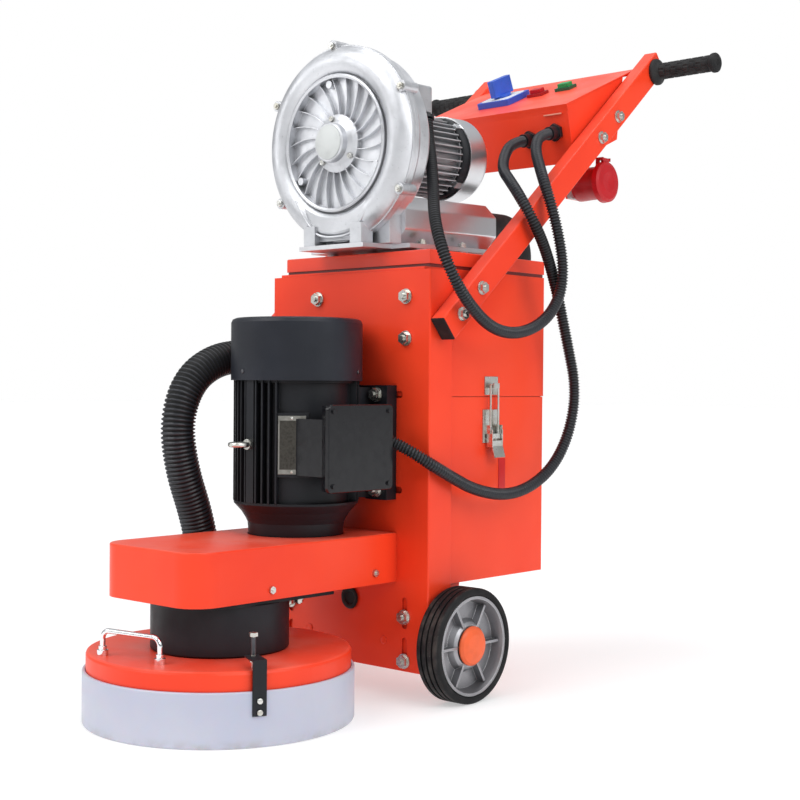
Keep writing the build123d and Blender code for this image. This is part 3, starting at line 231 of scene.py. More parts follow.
# ---- materials -------------------------------------------------------------------------
class Look:
    """A Principled material whose nodes all read the object's own coordinates."""

    def __init__(self, name, colour, rough=0.5, metallic=0.0):
        self.material = bpy.data.materials.new(name)
        self.material.use_nodes = True
        self.tree = self.material.node_tree
        self.shader = self.tree.nodes["Principled BSDF"]
        self.shader.inputs["Base Color"].default_value = (*colour, 1)
        self.shader.inputs["Roughness"].default_value = rough
        self.shader.inputs["Metallic"].default_value = metallic
        self.material.diffuse_color = (*colour, 1)
        self.where = self.add("ShaderNodeTexCoord").outputs["Object"]
        self.colour = None
        self.rough = None
        self.height = None
        self.base = colour
        self.base_rough = rough

    def add(self, kind, settings=None, **inputs):
        node = self.tree.nodes.new(kind)
        for key, value in (settings or {}).items():
            setattr(node, key, value)
        for key, value in inputs.items():
            socket = node.inputs[key.replace("_", " ")]
            if isinstance(value, bpy.types.NodeSocket):
                self.tree.links.new(value, socket)
            else:
                socket.default_value = value
        return node

    def stretched(self, scale):
        return self.add("ShaderNodeMapping", Vector=self.where, Scale=scale).outputs[0]

    def noise(self, scale, detail=4.0, stretch=None, rough=0.55):
        vector = self.stretched(stretch) if stretch else self.where
        node = self.add("ShaderNodeTexNoise", Vector=vector, Scale=scale, Detail=detail,
                        Roughness=rough)
        return node.outputs["Fac"]

    def ramp(self, value, low, high, start=0.0, end=1.0):
        node = self.add("ShaderNodeMapRange", {"clamp": True, "interpolation_type": "SMOOTHSTEP"},
                        Value=value)
        node.inputs["From Min"].default_value = low
        node.inputs["From Max"].default_value = high
        node.inputs["To Min"].default_value = start
        node.inputs["To Max"].default_value = end
        return node.outputs[0]

    def math(self, operation, first, second):
        node = self.tree.nodes.new("ShaderNodeMath")
        node.operation = operation
        for socket, value in zip(node.inputs, (first, second)):
            if isinstance(value, bpy.types.NodeSocket):
                self.tree.links.new(value, socket)
            else:
                socket.default_value = value
        return node.outputs[0]

    def blend(self, mask, colour):
        """Lays a colour over what is there, by a mask."""
        node = self.add("ShaderNodeMix", {"data_type": "RGBA"})
        self.tree.links.new(mask, node.inputs["Factor"])
        if self.colour is None:
            node.inputs[6].default_value = (*self.base, 1)
        else:
            self.tree.links.new(self.colour, node.inputs[6])
        node.inputs[7].default_value = (*colour, 1)
        self.colour = node.outputs[2]
        return self

    def roughen(self, mask, rough):
        node = self.add("ShaderNodeMix", {"data_type": "FLOAT"})
        self.tree.links.new(mask, node.inputs[0])
        if self.rough is None:
            node.inputs[2].default_value = self.base_rough
        else:
            self.tree.links.new(self.rough, node.inputs[2])
        node.inputs[3].default_value = rough
        self.rough = node.outputs[0]
        return self

    def bump(self, height, distance, strength=1.0):
        node = self.add("ShaderNodeBump", Height=height, Distance=distance, Strength=strength)
        if self.height is not None:
            self.tree.links.new(self.height, node.inputs["Normal"])
        self.height = node.outputs[0]
        return self

    def soft_edges(self, radius):
        node = self.add("ShaderNodeBevel", {"samples": 4}, Radius=radius)
        self.height = node.outputs[0]
        return self

    def edge_mask(self, radius):
        """1 along sharp edges, from how far the rounded normal leaves the true one."""
        rounded = self.add("ShaderNodeBevel", {"samples": 4}, Radius=radius).outputs[0]
        normal = self.add("ShaderNodeNewGeometry").outputs["True Normal"]
        dot = self.add("ShaderNodeVectorMath", {"operation": "DOT_PRODUCT"})
        self.tree.links.new(rounded, dot.inputs[0])
        self.tree.links.new(normal, dot.inputs[1])
        return self.ramp(dot.outputs["Value"], 0.985, 0.90)

    def painted_hollow_shade(self, reach, low=0.35, high=0.95):
        """Painted shade mask: 1 deep in corners and between fins, where ambient occlusion finds
        little open sky.
        """
        node = self.add("ShaderNodeAmbientOcclusion", {"samples": 6}, Distance=reach)
        return self.ramp(node.outputs["AO"], high, low)

    def facing_side(self):
        """1 where the surface faces along X."""
        normal = self.add("ShaderNodeNewGeometry").outputs["Normal"]
        across = self.add("ShaderNodeSeparateXYZ", Vector=normal).outputs[0]
        return self.ramp(self.math("ABSOLUTE", across, 0.0), 0.35, 0.75)

    def axis(self, index):
        return self.add("ShaderNodeSeparateXYZ", Vector=self.where).outputs[index]

    def facing_up(self):
        normal = self.add("ShaderNodeNewGeometry").outputs["Normal"]
        return self.ramp(self.add("ShaderNodeSeparateXYZ", Vector=normal).outputs[2], 0.55, 0.95)

    def set(self, **values):
        for key, value in values.items():
            self.shader.inputs[key.replace("_", " ")].default_value = value
        return self

    def done(self):
        for socket, source in (("Base Color", self.colour), ("Roughness", self.rough),
                               ("Normal", self.height)):
            if source is not None:
                self.tree.links.new(source, self.shader.inputs[socket])
        return self.material


def powder_coat(name, colour, deep, rough=0.34):
    """Powder coat: orange peel, slow colour drift, dust on top faces, paler worn edges, and painted
    shade in corners and recesses.
    """
    look = Look(name, colour, rough)
    look.soft_edges(0.0012)
    look.blend(look.ramp(look.noise(3.1, 3), 0.35, 0.75), deep)
    speck = look.ramp(look.noise(420, 2), 0.70, 0.80, 0, 0.35)
    look.blend(speck, tuple(0.75 * c for c in deep))
    worn = look.math("MULTIPLY", look.edge_mask(0.0016), look.ramp(look.noise(60, 5), 0.45, 0.7))
    look.blend(look.math("MULTIPLY", worn, 0.55), tuple(min(1, c * 1.15 + 0.05) for c in colour))
    patches = look.ramp(look.noise(9, 6), 0.35, 0.8, 0.06, 0.26)
    dust = look.math("MULTIPLY", look.facing_up(), patches)
    look.blend(dust, (0.80, 0.44, 0.36))
    # painted shade: deep orange laid into corners and recesses by ambient occlusion
    look.blend(look.math("MULTIPLY", look.painted_hollow_shade(0.05, 0.25, 0.75), 0.55), (0.34, 0.014, 0.008))
    look.roughen(look.ramp(look.noise(14, 5), 0.3, 0.75), rough + 0.12)
    look.bump(look.noise(330, 2), 0.00007)
    look.bump(look.noise(7, 2), 0.0009, 0.35)
    return look.set(Coat_Weight=0.06, Coat_Roughness=0.2, Specular_IOR_Level=0.3).done()


def black_coat(name, colour=(0.012, 0.013, 0.015), rough=0.4, grain=0.00012):
    look = Look(name, colour, rough)
    look.soft_edges(0.0012)
    look.blend(look.ramp(look.noise(6, 5), 0.35, 0.8), tuple(1.7 * c + 0.003 for c in colour))
    worn = look.math("MULTIPLY", look.edge_mask(0.0014), look.ramp(look.noise(80, 5), 0.5, 0.75))
    look.blend(look.math("MULTIPLY", worn, 0.45), (0.12, 0.12, 0.125))
    dust = look.math("MULTIPLY", look.facing_up(), look.ramp(look.noise(12, 6), 0.45, 0.8, 0, 0.25))
    look.blend(dust, (0.10, 0.10, 0.105))
    # painted shade: near-black laid into corners and between fins by ambient occlusion
    look.blend(look.math("MULTIPLY", look.painted_hollow_shade(0.02), 0.8), (0.003, 0.003, 0.004))
    look.roughen(look.ramp(look.noise(20, 5), 0.3, 0.8), rough + 0.18)
    look.bump(look.noise(520, 3), grain)
    return look.set(Specular_IOR_Level=0.32).done()


def cast_metal(name, colour=(0.76, 0.77, 0.80), rough=0.34, grain=0.0003, shade_reach=0.014):
    """Sand-cast aluminium: fine pits, bright and dull patches, painted grey shade in the corners.
    """
    look = Look(name, colour, rough, 0.92)
    look.soft_edges(0.0015)
    look.blend(look.ramp(look.noise(11, 6), 0.35, 0.75), tuple(0.78 * c for c in colour))
    look.blend(look.ramp(look.noise(160, 3), 0.62, 0.78, 0, 0.5), tuple(0.55 * c for c in colour))
    # painted shade: grey laid into corners and recesses by ambient occlusion
    corner_shade = look.math("MULTIPLY", look.painted_hollow_shade(shade_reach, 0.15, 0.75), 0.60)
    look.blend(corner_shade, tuple(0.22 * c for c in colour))
    bright = look.math("MULTIPLY", look.edge_mask(0.002), look.ramp(look.noise(40, 4), 0.3, 0.6))
    look.blend(look.math("MULTIPLY", bright, 0.6), (0.86, 0.86, 0.87))
    look.roughen(look.ramp(look.noise(30, 5), 0.3, 0.7), rough + 0.16)
    look.bump(look.noise(300, 4, rough=0.7), grain)
    look.bump(look.noise(45, 3), 0.0006, 0.5)
    return look.done()


def bright_metal(name, colour, rough, grain=0.00004, second=None, scale=35, patchy=0.15):
    look = Look(name, colour, rough, 1.0)
    look.soft_edges(0.0008)
    second = second or tuple(0.72 * c for c in colour)
    look.blend(look.ramp(look.noise(scale, 5), 0.35, 0.75), second)
    look.roughen(look.ramp(look.noise(scale * 2, 5), 0.35, 0.75), rough + patchy)
    look.bump(look.noise(700, 3), grain)
    return look.done()


def plastic(name, colour, rough=0.35, grain=0.00004, dust=0.12):
    look = Look(name, colour, rough)
    look.soft_edges(0.0010)
    look.blend(look.ramp(look.noise(25, 5), 0.4, 0.8), tuple(0.82 * c for c in colour))
    over = look.math("MULTIPLY", look.facing_up(), look.ramp(look.noise(40, 6), 0.45, 0.8, 0, dust))
    look.blend(over, (0.5, 0.48, 0.45))
    look.roughen(look.ramp(look.noise(60, 5), 0.35, 0.75), rough + 0.12)
    look.bump(look.noise(900, 2), grain)
    return look.set(Specular_IOR_Level=0.4).done()


def rubber(name, colour=(0.012, 0.012, 0.013), rough=0.58, dust=(0.14, 0.13, 0.12), amount=0.5,
           clean_sides=False):
    """Rubber with grey floor dust caught in patches; a tyre's side walls stay black."""
    look = Look(name, colour, rough)
    look.soft_edges(0.0010)
    look.blend(look.ramp(look.noise(30, 7), 0.42, 0.78, 0, amount), dust)
    look.blend(look.ramp(look.noise(260, 4), 0.62, 0.74, 0, amount), dust)
    if clean_sides:
        look.blend(look.math("MULTIPLY", look.facing_side(), 0.86), colour)
    look.roughen(look.ramp(look.noise(18, 5), 0.35, 0.7), rough + 0.2)
    look.bump(look.noise(600, 4), 0.00015)
    return look.set(Specular_IOR_Level=0.3).done()


def milky_plastic():
    """Skirt: translucent white sheet with scuffs near the floor."""
    look = Look("skirt_sheet", (0.52, 0.53, 0.62), 0.36)
    look.soft_edges(0.0012)
    low = look.ramp(look.axis(2), 0.018, 0.001)
    scuff = look.math("MULTIPLY", low, look.ramp(look.noise(50, 6), 0.35, 0.7))
    look.blend(look.ramp(look.noise(5, 3), 0.4, 0.75), (0.47, 0.49, 0.60))
    look.blend(look.math("MULTIPLY", scuff, 0.5), (0.36, 0.35, 0.34))
    scratch = look.ramp(look.noise(70, 4, stretch=(1, 1, 14)), 0.63, 0.72, 0, 0.16)
    look.blend(scratch, (0.42, 0.43, 0.50))
    look.roughen(look.ramp(look.noise(22, 4), 0.35, 0.7), 0.5)
    look.bump(look.noise(240, 3), 0.00005)
    return look.set(Subsurface_Weight=0.25, Subsurface_Scale=0.012).done()


orange = powder_coat("orange_coat", (0.93, 0.060, 0.016), (0.84, 0.042, 0.012))
orange_sheet = powder_coat("orange_sheet", (0.94, 0.064, 0.018), (0.85, 0.045, 0.013))
black = black_coat("black_cast", (0.006, 0.007, 0.010))
black_smooth = black_coat("black_smooth", (0.010, 0.012, 0.018), 0.34, 0.00005)
cast = cast_metal("cast_aluminium")
# the last argument sets how far cast_metal's painted corner shade reaches; the rim's wide reach
# darkens it round its hub
cast_fins = cast_metal("cast_fins", (0.55, 0.56, 0.58), 0.38, 0.0002, 0.014)
cast_rim = cast_metal("cast_rim", (0.40, 0.40, 0.42), 0.40, 0.0003, 0.05)
cast_smooth = bright_metal("cast_smooth", (0.80, 0.80, 0.82), 0.31, 0.00005, (0.74, 0.74, 0.76),
                           9, 0.04)
silver = bright_metal("silver_coat", (0.74, 0.75, 0.77), 0.33, 0.00004, (0.68, 0.69, 0.71), 8, 0.04)
zinc = bright_metal("zinc_plate", (0.70, 0.70, 0.67), 0.26, 0.00006, (0.52, 0.50, 0.43))
steel = bright_metal("turned_steel", (0.50, 0.50, 0.50), 0.30)
chrome = bright_metal("chrome", (0.88, 0.89, 0.90), 0.06, 0.00001, (0.80, 0.81, 0.83))
skirt_sheet = milky_plastic()
tyre_rubber = rubber("tyre_rubber", (0.006, 0.006, 0.007), 0.60, (0.10, 0.09, 0.08), 0.6, True)
grip_rubber = rubber("grip_rubber", amount=0.12)
rib_crests = plastic("corrugated_plastic", (0.020, 0.022, 0.028), 0.30, dust=0.2)
# painted shade: near-black copy of the conduit plastic, laid in the rib valleys
rib_valley_shade = plastic("rib_valley_shade", (0.0012, 0.0012, 0.0016), 0.6, dust=0.05)
gland_plastic = plastic("gland_plastic", (0.010, 0.011, 0.014), 0.36, dust=0.2)
box_plastic = plastic("glossy_black", (0.006, 0.006, 0.008), 0.16, 0.00002, 0.05)
blue = plastic("blue_plastic", (0.030, 0.12, 0.62), 0.30)
red = plastic("red_plastic", (0.50, 0.004, 0.010), 0.36)
green = plastic("green_plastic", (0.012, 0.33, 0.09), 0.30)
white = plastic("white_plastic", (0.78, 0.79, 0.80), 0.36)
hub_orange = plastic("hub_orange", (0.88, 0.13, 0.035), 0.38)
paper = rubber("filter_paper", (0.74, 0.70, 0.58), 0.9, (0.45, 0.43, 0.39), 0.3)
segments = cast_metal("segments", (0.30, 0.29, 0.27), 0.5, 0.0005)
gasket = rubber("gasket_rubber", amount=0.2)
trim_red = plastic("trim_red", (0.62, 0.010, 0.012), 0.30)
plate_metal = bright_metal("plate_metal", (0.34, 0.33, 0.30), 0.34, second=(0.24, 0.235, 0.21),
                           scale=90)
plate_dark = bright_metal("plate_dark", (0.085, 0.080, 0.070), 0.40, second=(0.055, 0.052, 0.046),
                          scale=220)
dark_steel = bright_metal("dark_steel", (0.12, 0.12, 0.13), 0.38)
# painted highlight colour for the strip under the control panel's lip
painted_highlight_orange = plastic("painted_highlight_orange", (0.80, 0.30, 0.20), 0.4)
hub_paint = plastic("hub_paint", (0.66, 0.68, 0.67), 0.4, 0.00006, 0.1)


def sealed_lid():
    """Lid's coat, and the darker seal below its edge."""
    look = Look("lid_coat", (0.93, 0.060, 0.016), 0.34)
    look.soft_edges(0.0012)
    look.blend(look.ramp(look.noise(3.1, 3), 0.35, 0.75), (0.84, 0.042, 0.012))
    patches = look.ramp(look.noise(9, 6), 0.35, 0.8, 0.06, 0.3)
    dust = look.math("MULTIPLY", look.facing_up(), patches)
    look.blend(dust, (0.80, 0.44, 0.36))
    look.blend(look.ramp(look.axis(2), 0.7612, 0.7608), (0.16, 0.012, 0.008))
    look.roughen(look.ramp(look.noise(14, 5), 0.3, 0.75), 0.46)
    look.bump(look.noise(330, 2), 0.00007)
    return look.set(Coat_Weight=0.12, Coat_Roughness=0.2).done()


def panel_plastics():
    """Blue switch plate, and the dark bezels of the stop and start buttons, told apart by X."""
    look = Look("panel_plastics", (0.026, 0.10, 0.58), 0.3)
    look.soft_edges(0.0010)
    look.blend(look.ramp(look.axis(0), 0.0095, 0.0105), (0.36, 0.008, 0.010))
    look.blend(look.ramp(look.axis(0), 0.0625, 0.0635), (0.006, 0.10, 0.045))
    look.roughen(look.ramp(look.noise(60, 5), 0.35, 0.75), 0.42)
    look.bump(look.noise(900, 2), 0.00004)
    return look.done()


def inlet_plastics():
    """Dark red inlet on its grey base."""
    look = Look("inlet_plastics", (0.40, 0.010, 0.014), 0.34)
    look.soft_edges(0.0010)
    look.blend(look.ramp(look.noise(25, 5), 0.4, 0.8), (0.30, 0.008, 0.010))
    look.blend(look.ramp(look.axis(0), 0.1215, 0.1205), (0.34, 0.34, 0.34))
    look.roughen(look.ramp(look.noise(60, 5), 0.35, 0.75), 0.46)
    look.bump(look.noise(900, 2), 0.00004)
    return look.done()


NODE_LOOKS = {
    orange: ["front_plate", "axle_brackets", "disc_cover", "belt_case_base", "belt_guard",
             "handle_arms", "control_box"],
    orange_sheet: ["filter_box", "dust_bin"],
    sealed_lid(): ["top_lid"],
    black: ["motor_housing", "spindle_housing", "skirt_brackets"],
    black_smooth: ["motor_fan_cover"],
    box_plastic: ["motor_terminal_box"],
    cast: ["blower_front_housing", "blower_rear_housing", "blower_impeller"],
    cast_smooth: ["blower_silencers"],
    cast_rim: ["left_rim", "right_rim"],
    cast_fins: ["blower_motor_housing"],
    silver: ["blower_fan_cover"],
    zinc: ["wheel_axle", "fasteners", "latch_plates", "left_latch_lever", "left_latch_bail",
           "right_latch_lever", "right_latch_bail"],
    steel: ["spindle_shaft", "grinding_disc", "motor_stator", "motor_rotor", "motor_pulley",
            "bearings", "blower_rotor"],
    chrome: ["lift_handle"],
    skirt_sheet: ["skirt_ring"],
    tyre_rubber: ["left_tyre", "right_tyre"],
    hub_orange: ["left_hub_cap", "right_hub_cap"],
    grip_rubber: ["handle_grips", "drive_belts"],
    gasket: ["blower_suction_elbow"],
    gland_plastic: ["glands_and_cuffs", "motor_fan"],
    blue: ["switch_handle"],
    panel_plastics(): ["switch_plates"],
    red: ["stop_button", "inlet_cap"],
    inlet_plastics(): ["power_inlet"],
    green: ["start_button"],
    paper: ["filter_cartridge"],
    segments: ["grinding_heads"],
}
for look, names in NODE_LOOKS.items():
    for name in names:
        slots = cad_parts[name].data.materials
        slots.clear()
        slots.append(look)

# outer radius, rib pitch, rib depth (metres), points around
CONDUIT = (0.0106, 0.0054, 0.0027, 24)
HOSE = (0.030, 0.0072, 0.0040, 44)
corrugated("motor_conduit", MOTOR_CONDUIT, *CONDUIT, length=1.242)
corrugated("blower_conduit", BLOWER_CONDUIT, *CONDUIT, length=1.115)
corrugated("suction_hose", SUCTION_HOSE, *HOSE, length=0.640)

# ---- pieces ----------------------------------------------------------------------------
AXES = {"X": (Vector((1, 0, 0)), Vector((0, 1, 0)), Vector((0, 0, 1))),
        "Y": (Vector((0, 1, 0)), Vector((0, 0, 1)), Vector((1, 0, 0))),
        "Z": (Vector((0, 0, 1)), Vector((1, 0, 0)), Vector((0, 1, 0)))}


def lathe(name, centre, axes, profile, material, around=48, body="frame"):
    """Turned piece with closed ends; profile is (distance along the first axis, radius) in mm."""
    along, side, up = axes
    points = []
    for distance, radius in profile:
        for j in range(around):
            angle = math.tau * j / around
            points.append(centre + along * distance / 1000
                          + (side * math.cos(angle) + up * math.sin(angle)) * radius / 1000)
    piece = add_mesh(name, points, rings_to_faces(len(profile), around), material, body)
    return piece


def facing(degrees):
    """Outward, sideways and upward axes of something that faces away from a vertical axis."""
    turn = math.radians(degrees)
    out = Vector((math.cos(turn), math.sin(turn), 0))
    side = Vector((-math.sin(turn), math.cos(turn), 0))
    return out, side, Vector((0, 0, 1))


def dome(name, centre, axes, radius, height, material, body="frame"):
    """Screw or rivet head: a short side, then a round top."""
    profile = [(0, radius), (0.35 * height, radius)]
    for step in range(1, 6):
        angle = math.radians(90 * step / 6)
        profile.append((height * (0.35 + 0.65 * math.sin(angle)), radius * math.cos(angle)))
    return lathe(name, centre, axes, profile, material, 20, body)


GRIP_Y = 665
GRIP_Z = 1192
GRIP_BARREL = (241.0, 353.0)    # X where the patterned barrel starts and ends
PAD_LENGTH = 14.0
PAD_GROOVE = 2.4
PAD_WIDTH = 12.5
PAD_RISE = 1.6
PAD_SLOPE = 0.7             # width of the slope at a pad's edge
GRIP_PADS_AROUND = 8
GRIP_CORE = 15.0
BARREL_STEP = 0.7


def grip_radius(x, turn):
    """Radius of the moulded grip at X and at a share of a turn."""
    start = GRIP_BARREL[0]
    row = int((x - start) / PAD_LENGTH)
    along = (x - start) % PAD_LENGTH
    across = (turn * GRIP_PADS_AROUND + 0.5 * (row % 2)) % 1.0
    edge = min(along, PAD_LENGTH - along) - PAD_GROOVE / 2
    side = (0.5 - abs(across - 0.5)) * PAD_WIDTH - PAD_GROOVE / 2
    rise = max(0.0, min(1.0, min(edge, side) / PAD_SLOPE))
    return GRIP_CORE + PAD_RISE * rise


def make_grip(side):
    """Rubber grip: flange, barrel with staggered pads, and a round end with a dimple."""
    flange = [(226.2, 15.0), (226.2, 25.6), (227.4, 26.4), (231.5, 26.4), (233.5, 25.2),
              (236, 20.5), (239, 16.6), (240.6, 16.0)]
    tail = [(353.4, 15.4), (355.5, 16.6), (357.5, 18.9), (359.5, 19.5), (364.5, 19.5),
            (366.2, 18.6), (367.2, 16.2), (368.8, 15.0), (368.8, 7.0), (366.4, 5.5), (366.4, 1.0)]
    barrel = []
    x = GRIP_BARREL[0] + 0.1
    while x < GRIP_BARREL[1]:
        barrel.append(x)
        x += BARREL_STEP
    around = 96
    centre = mm(0, GRIP_Y, GRIP_Z)
    points = []
    rows = flange + [(x, None) for x in barrel] + tail
    for x, radius in rows:
        for j in range(around):
            r = radius if radius is not None else grip_radius(x, j / around)
            angle = math.tau * j / around
            offset = Vector((side * x, r * math.cos(angle), r * math.sin(angle)))
            points.append(centre + offset / 1000)
    name = "left_grip" if side < 0 else "right_grip"
    grip = add_mesh(name, points, rings_to_faces(len(rows), around), grip_rubber)
    return grip


PANEL_SLOPE = math.radians(24)
PANEL_FRONT = (397, 1092)


def on_panel(x, distance, height):
    """Point on the control panel, in metres."""
    y = PANEL_FRONT[0] + distance * math.cos(PANEL_SLOPE) - height * math.sin(PANEL_SLOPE)
    z = PANEL_FRONT[1] + distance * math.sin(PANEL_SLOPE) + height * math.cos(PANEL_SLOPE)
    return mm(x, y, z)


def make_switch_face():
    """White label on the blue plate, with a round hole for the paddle's collar."""
    half, corner, hole = 35.5, 4.0, 19.0
    middle_x, middle_distance = -38, 116
    around = 64
    points = []
    for height in (12.0, 12.7):
        for reach in (hole, None):
            for j in range(around):
                angle = math.tau * (j + 0.5) / around
                c, n = math.cos(angle), math.sin(angle)
                r = reach or min(half / max(abs(c), abs(n)), half * math.sqrt(2) - corner)
                points.append(on_panel(middle_x + r * c, middle_distance + r * n, height))
    faces = []
    for j in range(around):
        k = (j + 1) % around
        faces.append((j, k, around + k, around + j))
        faces.append((2 * around + j, 3 * around + j, 3 * around + k, 2 * around + k))
        faces.append((around + j, around + k, 3 * around + k, 3 * around + j))
        faces.append((j, 2 * around + j, 2 * around + k, k))
    add_mesh("switch_face", points, faces, white, smooth=False)


MOTOR_Y = -127              # the motor's vertical axis
RATING_PLATE_ANGLE = -48
COVER_SCREW_ANGLES = (-97, 23, 143)


def make_rating_plate():
    """Blank plate on the motor's pad: metal edge, dark field, two rivets."""
    out, side, up = facing(RATING_PLATE_ANGLE)
    centre = mm(0, MOTOR_Y, 448) + out * 0.1024
    plate = slab("rating_plate", centre, (side, up, out), (0.047, 0.098, 0.0009), plate_metal,
                 0.0003)
    field = slab("rating_field", centre + out * 0.0005, (side, up, out), (0.0415, 0.082, 0.0005),
                 plate_dark, 0.0002)
    for index, height in enumerate((-0.045, 0.045)):
        at = centre + up * height + out * 0.0004
        dome(f"plate_rivet_{index}", at, (out, side, up), 2.4, 1.3, zinc)


ARM_SLOPE = 40.5


def make_arm_caps():
    """Black caps in the lower ends of the square arms."""
    slope = math.radians(ARM_SLOPE)
    along = Vector((0, math.cos(slope), math.sin(slope)))
    square = Vector((0, -math.sin(slope), math.cos(slope)))
    for side, name in ((-1, "left_arm_cap"), (1, "right_arm_cap")):
        centre = mm(side * 211, 17, 647) - along * 0.001
        axes = (Vector((1, 0, 0)), square, along)
        cap = slab(name, centre, axes, (0.0286, 0.0456, 0.0022), gasket, 0.0006)


def make_box_details():
    """Red strip below the latch, a pale strip under the control box's lip as painted highlight, and
    the strip behind the bin's seam.
    """
    x_axis, y_axis, z_axis = AXES["X"]
    trim = slab("bin_trim", mm(179.4, 224, 387.5), (y_axis, z_axis, x_axis),
                (0.020, 0.057, 0.0012), trim_red, 0.0004)
    # painted highlight: pale orange strip where light catches just below the panel's lip
    highlight_strip = slab("panel_lip_highlight", mm(161, 398.4, 1075), (x_axis, z_axis, y_axis),
                 (0.042, 0.0028, 0.0022), painted_highlight_orange, 0.0006)
    half, near, far, low, high = 175.6, 12.0, 347.4, 512.0, 546.0
    thickness = 1.4
    points = []
    for inset in (0.0, thickness):
        for z in (low, high):
            for x, y in ((-half + inset, near + inset), (half - inset, near + inset),
                         (half - inset, far - inset), (-half + inset, far - inset)):
                points.append(mm(x, y, z))
    faces = []
    for j in range(4):
        k = (j + 1) % 4
        faces += [(j, k, 4 + k, 4 + j), (8 + j, 12 + j, 12 + k, 8 + k), (j, 8 + j, 8 + k, k),
                  (4 + j, 4 + k, 12 + k, 12 + j)]
    lip = add_mesh("seam_lip", points, faces, orange_sheet, smooth=False)


def make_motor_screws():
    """Round-headed screws that hold the motor's fan cover."""
    for index, degrees in enumerate(COVER_SCREW_ANGLES):
        axes = facing(degrees)
        at = mm(0, MOTOR_Y, 571) + axes[0] * 0.1138
        dome(f"cover_screw_{index}", at, axes, 3.6, 2.6, dark_steel)


def make_grommet():
    """Black ring in the frame plate's cable hole."""
    profile = [(-1.2, 17.5), (-2.6, 20.6), (-3.2, 19.5), (-3.4, 14.0), (-1.5, 11.0), (6.0, 11.0),
               (7.4, 14.0), (7.2, 19.5), (6.2, 20.6), (4.8, 17.5)]
    ring = lathe("plate_grommet", mm(11, 0, 166), AXES["Y"], profile, gasket, 40)


def make_plugs():
    """Thin orange caps over the frame plate's two mount holes."""
    for side in (-1, 1):
        profile = [(4.0, 5.6), (0.0, 5.6), (-0.2, 7.6), (-0.9, 7.2), (-1.5, 5.0), (-1.7, 1.0)]
        name = "left_plug" if side < 0 else "right_plug"
        lathe(name, mm(side * 93, 0, 99), AXES["Y"], profile, orange, 24)


HEAD_Y = -299
BRACKET_ANGLES = (-25.4, 126.0)


def make_bracket_details():
    """Zinc screws on the skirt straps, and the threads of the guide studs."""
    for index, degrees in enumerate(BRACKET_ANGLES):
        out, side, up = facing(degrees)
        for level, z in enumerate((54.5, 72.0)):
            at = mm(0, HEAD_Y, z) + out * 0.2275
            dome(f"strap_screw_{index}{level}", at, (out, side, up), 4.6, 2.2, zinc, "skirt")
        profile = []
        z = 136.0
        while z < 163.5:
            profile += [(z, 3.55), (z + 0.6, 4.0)]
            z += 1.2
        thread = lathe(f"stud_thread_{index}", mm(0, HEAD_Y, 0) + out * 0.191, AXES["Z"], profile,
                       dark_steel, 20)


BLOWER_TILT = math.radians(1.2)
BLOWER_AT = mm(-8, -30, 982)


def make_blower_details():
    """Hub cap and screws, the ridge along the inlet's lower lip, and the motor's end shield."""
    tilt = Matrix.Rotation(BLOWER_TILT, 3, "X")
    along, up, side = (tilt @ axis for axis in AXES["Y"])
    axes = (along, up, side)
    disc = [(-16.0, 31.0), (-17.0, 31.0), (-17.6, 30.2), (-17.6, 1.0)]
    piece = lathe("hub_disc", BLOWER_AT, axes, disc, hub_paint, 64)
    for index, degrees in enumerate((100, 225, 325)):
        turn = math.radians(degrees)
        at = BLOWER_AT + (side * math.cos(turn) + up * math.sin(turn)) * 0.045 + along * 0.0045
        screw = [(0, 5.2), (-6.0, 5.2), (-6.6, 4.6), (-6.6, 2.6), (-4.4, 2.4), (-4.4, 0.5)]
        lathe(f"hub_screw_{index}", at, axes, screw, zinc, 6)
    ridge = [(-96, -3, -96), (-82, -4, -118), (-66, -4, -138), (-50, -3.5, -157), (-30, -2.5, -166),
             (0, -2, -168), (34, -2.5, -166), (54, -3.5, -157), (70, -4, -138), (86, -4, -118),
             (99, -3, -96)]
    curve = bpy.data.curves.new("blower_ridge", "CURVE")
    curve.dimensions = "3D"
    curve.bevel_depth = 0.0024
    curve.bevel_resolution = 3
    curve.resolution_u = 10
    curve.use_fill_caps = True
    spline = curve.splines.new("NURBS")
    spline.points.add(len(ridge) - 1)
    for point, (x, y, z) in zip(spline.points, ridge):
        where = BLOWER_AT + (side * x + along * y + up * z) / 1000
        point.co = (*where, 1)
    spline.order_u = 3
    spline.use_endpoint_u = True
    bead = add_object("blower_ridge", curve)
    curve.materials.append(cast)
    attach(bead, "frame")
    shroud = [(271, 71.5), (273, 77.6), (290, 78.4), (296, 78.4), (298, 70.0), (298, 40.0),
              (290, 40.0), (286, 60.0)]
    piece = lathe("blower_end_shield", BLOWER_AT, axes, shroud, black, 64)


left_grip = make_grip(-1)
right_grip = make_grip(1)
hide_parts("handle_grips")
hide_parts("handle_grips")
make_switch_face()
make_rating_plate()
make_arm_caps()
make_box_details()
make_motor_screws()
make_grommet()
make_plugs()
make_bracket_details()
make_blower_details()


# ---- floor and light -------------------------------------------------------------------
FLOOR_GLOW = 0.44
FLOOR_HALF = 30.0
SKY_LOW = 0.24              # sky strength along the horizon
SKY_HIGH = 0.62             # and overhead


def make_floor():
    half = FLOOR_HALF
    mesh = bpy.data.meshes.new("floor")
    corner_shade = [(-half, -half, 0), (half, -half, 0), (half, half, 0), (-half, half, 0)]
    mesh.from_pydata(corner_shade, [], [(0, 1, 2, 3)])
    floor = add_object("floor", mesh)
    look = Look("floor_paper", (0.60, 0.60, 0.60), 0.8)
    look.blend(look.ramp(look.noise(2, 3), 0.4, 0.7), (0.59, 0.59, 0.595))
    look.set(Emission_Color=(1, 1, 1, 1), Emission_Strength=FLOOR_GLOW, Specular_IOR_Level=0.1)
    mesh.materials.append(look.done())


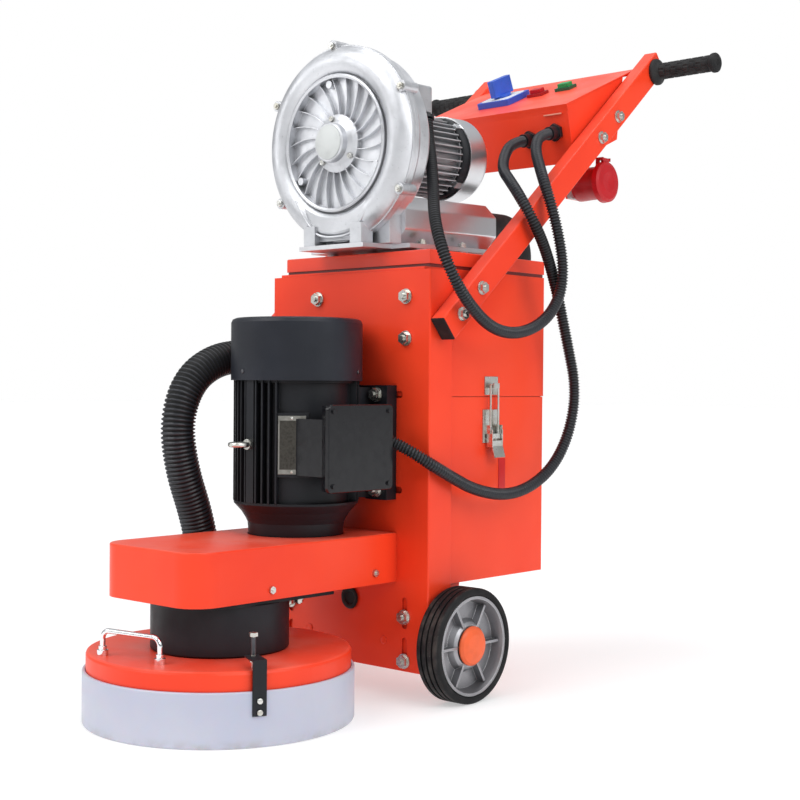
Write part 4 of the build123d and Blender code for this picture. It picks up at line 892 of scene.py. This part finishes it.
def soft_light(name, centre, target, size, power):
    data = bpy.data.lights.new(name, "AREA")
    data.shape = "SQUARE"
    data.size = size
    data.energy = power
    light = add_object(name, data)
    light.location = centre
    light.rotation_euler = (Vector(target) - Vector(centre)).to_track_quat("-Z", "Y").to_euler()


def soft_sun(name, towards, spread, strength):
    data = bpy.data.lights.new(name, "SUN")
    data.angle = math.radians(spread)
    data.energy = strength
    light = add_object(name, data)
    light.rotation_euler = Vector(towards).to_track_quat("-Z", "Y").to_euler()


def make_world():
    """White to the camera; for light, brighter overhead than along the horizon."""
    world = bpy.data.worlds.new("studio")
    world.use_nodes = True
    tree = world.node_tree
    add = tree.nodes.new
    sky = tree.nodes["Background"]
    paper = add("ShaderNodeBackground")
    paper.inputs["Color"].default_value = (1, 1, 1, 1)
    where = add("ShaderNodeTexCoord")
    split = add("ShaderNodeSeparateXYZ")
    rise = add("ShaderNodeMapRange")
    rise.inputs["From Min"].default_value = -0.1
    rise.inputs["From Max"].default_value = 0.8
    rise.inputs["To Min"].default_value = SKY_LOW
    rise.inputs["To Max"].default_value = SKY_HIGH
    path = add("ShaderNodeLightPath")
    mix = add("ShaderNodeMixShader")
    link = tree.links.new
    link(where.outputs["Generated"], split.inputs[0])
    link(split.outputs[2], rise.inputs["Value"])
    sky.inputs["Color"].default_value = (0.96, 0.98, 1.0, 1)
    link(rise.outputs[0], sky.inputs["Strength"])
    link(path.outputs["Is Camera Ray"], mix.inputs[0])
    link(sky.outputs[0], mix.inputs[1])
    link(paper.outputs[0], mix.inputs[2])
    link(mix.outputs[0], tree.nodes["World Output"].inputs[0])
    scene.world = world


def make_lights():
    make_world()
    soft_sun("left_sun", (0.25, 0.80, -0.80), 40, 1.25)
    soft_sun("right_sun", (-0.85, 0.25, -0.75), 40, 0.95)
    middle = (0, 0, 0.5)
    soft_light("left_box", (-2.6, -2.6, 1.9), middle, 1.4, 13)
    soft_light("right_box", (2.9, 0.4, 1.7), middle, 1.3, 13)
    soft_light("top_box", (0.2, 0.2, 3.4), middle, 1.6, 18)


make_floor()
make_lights()
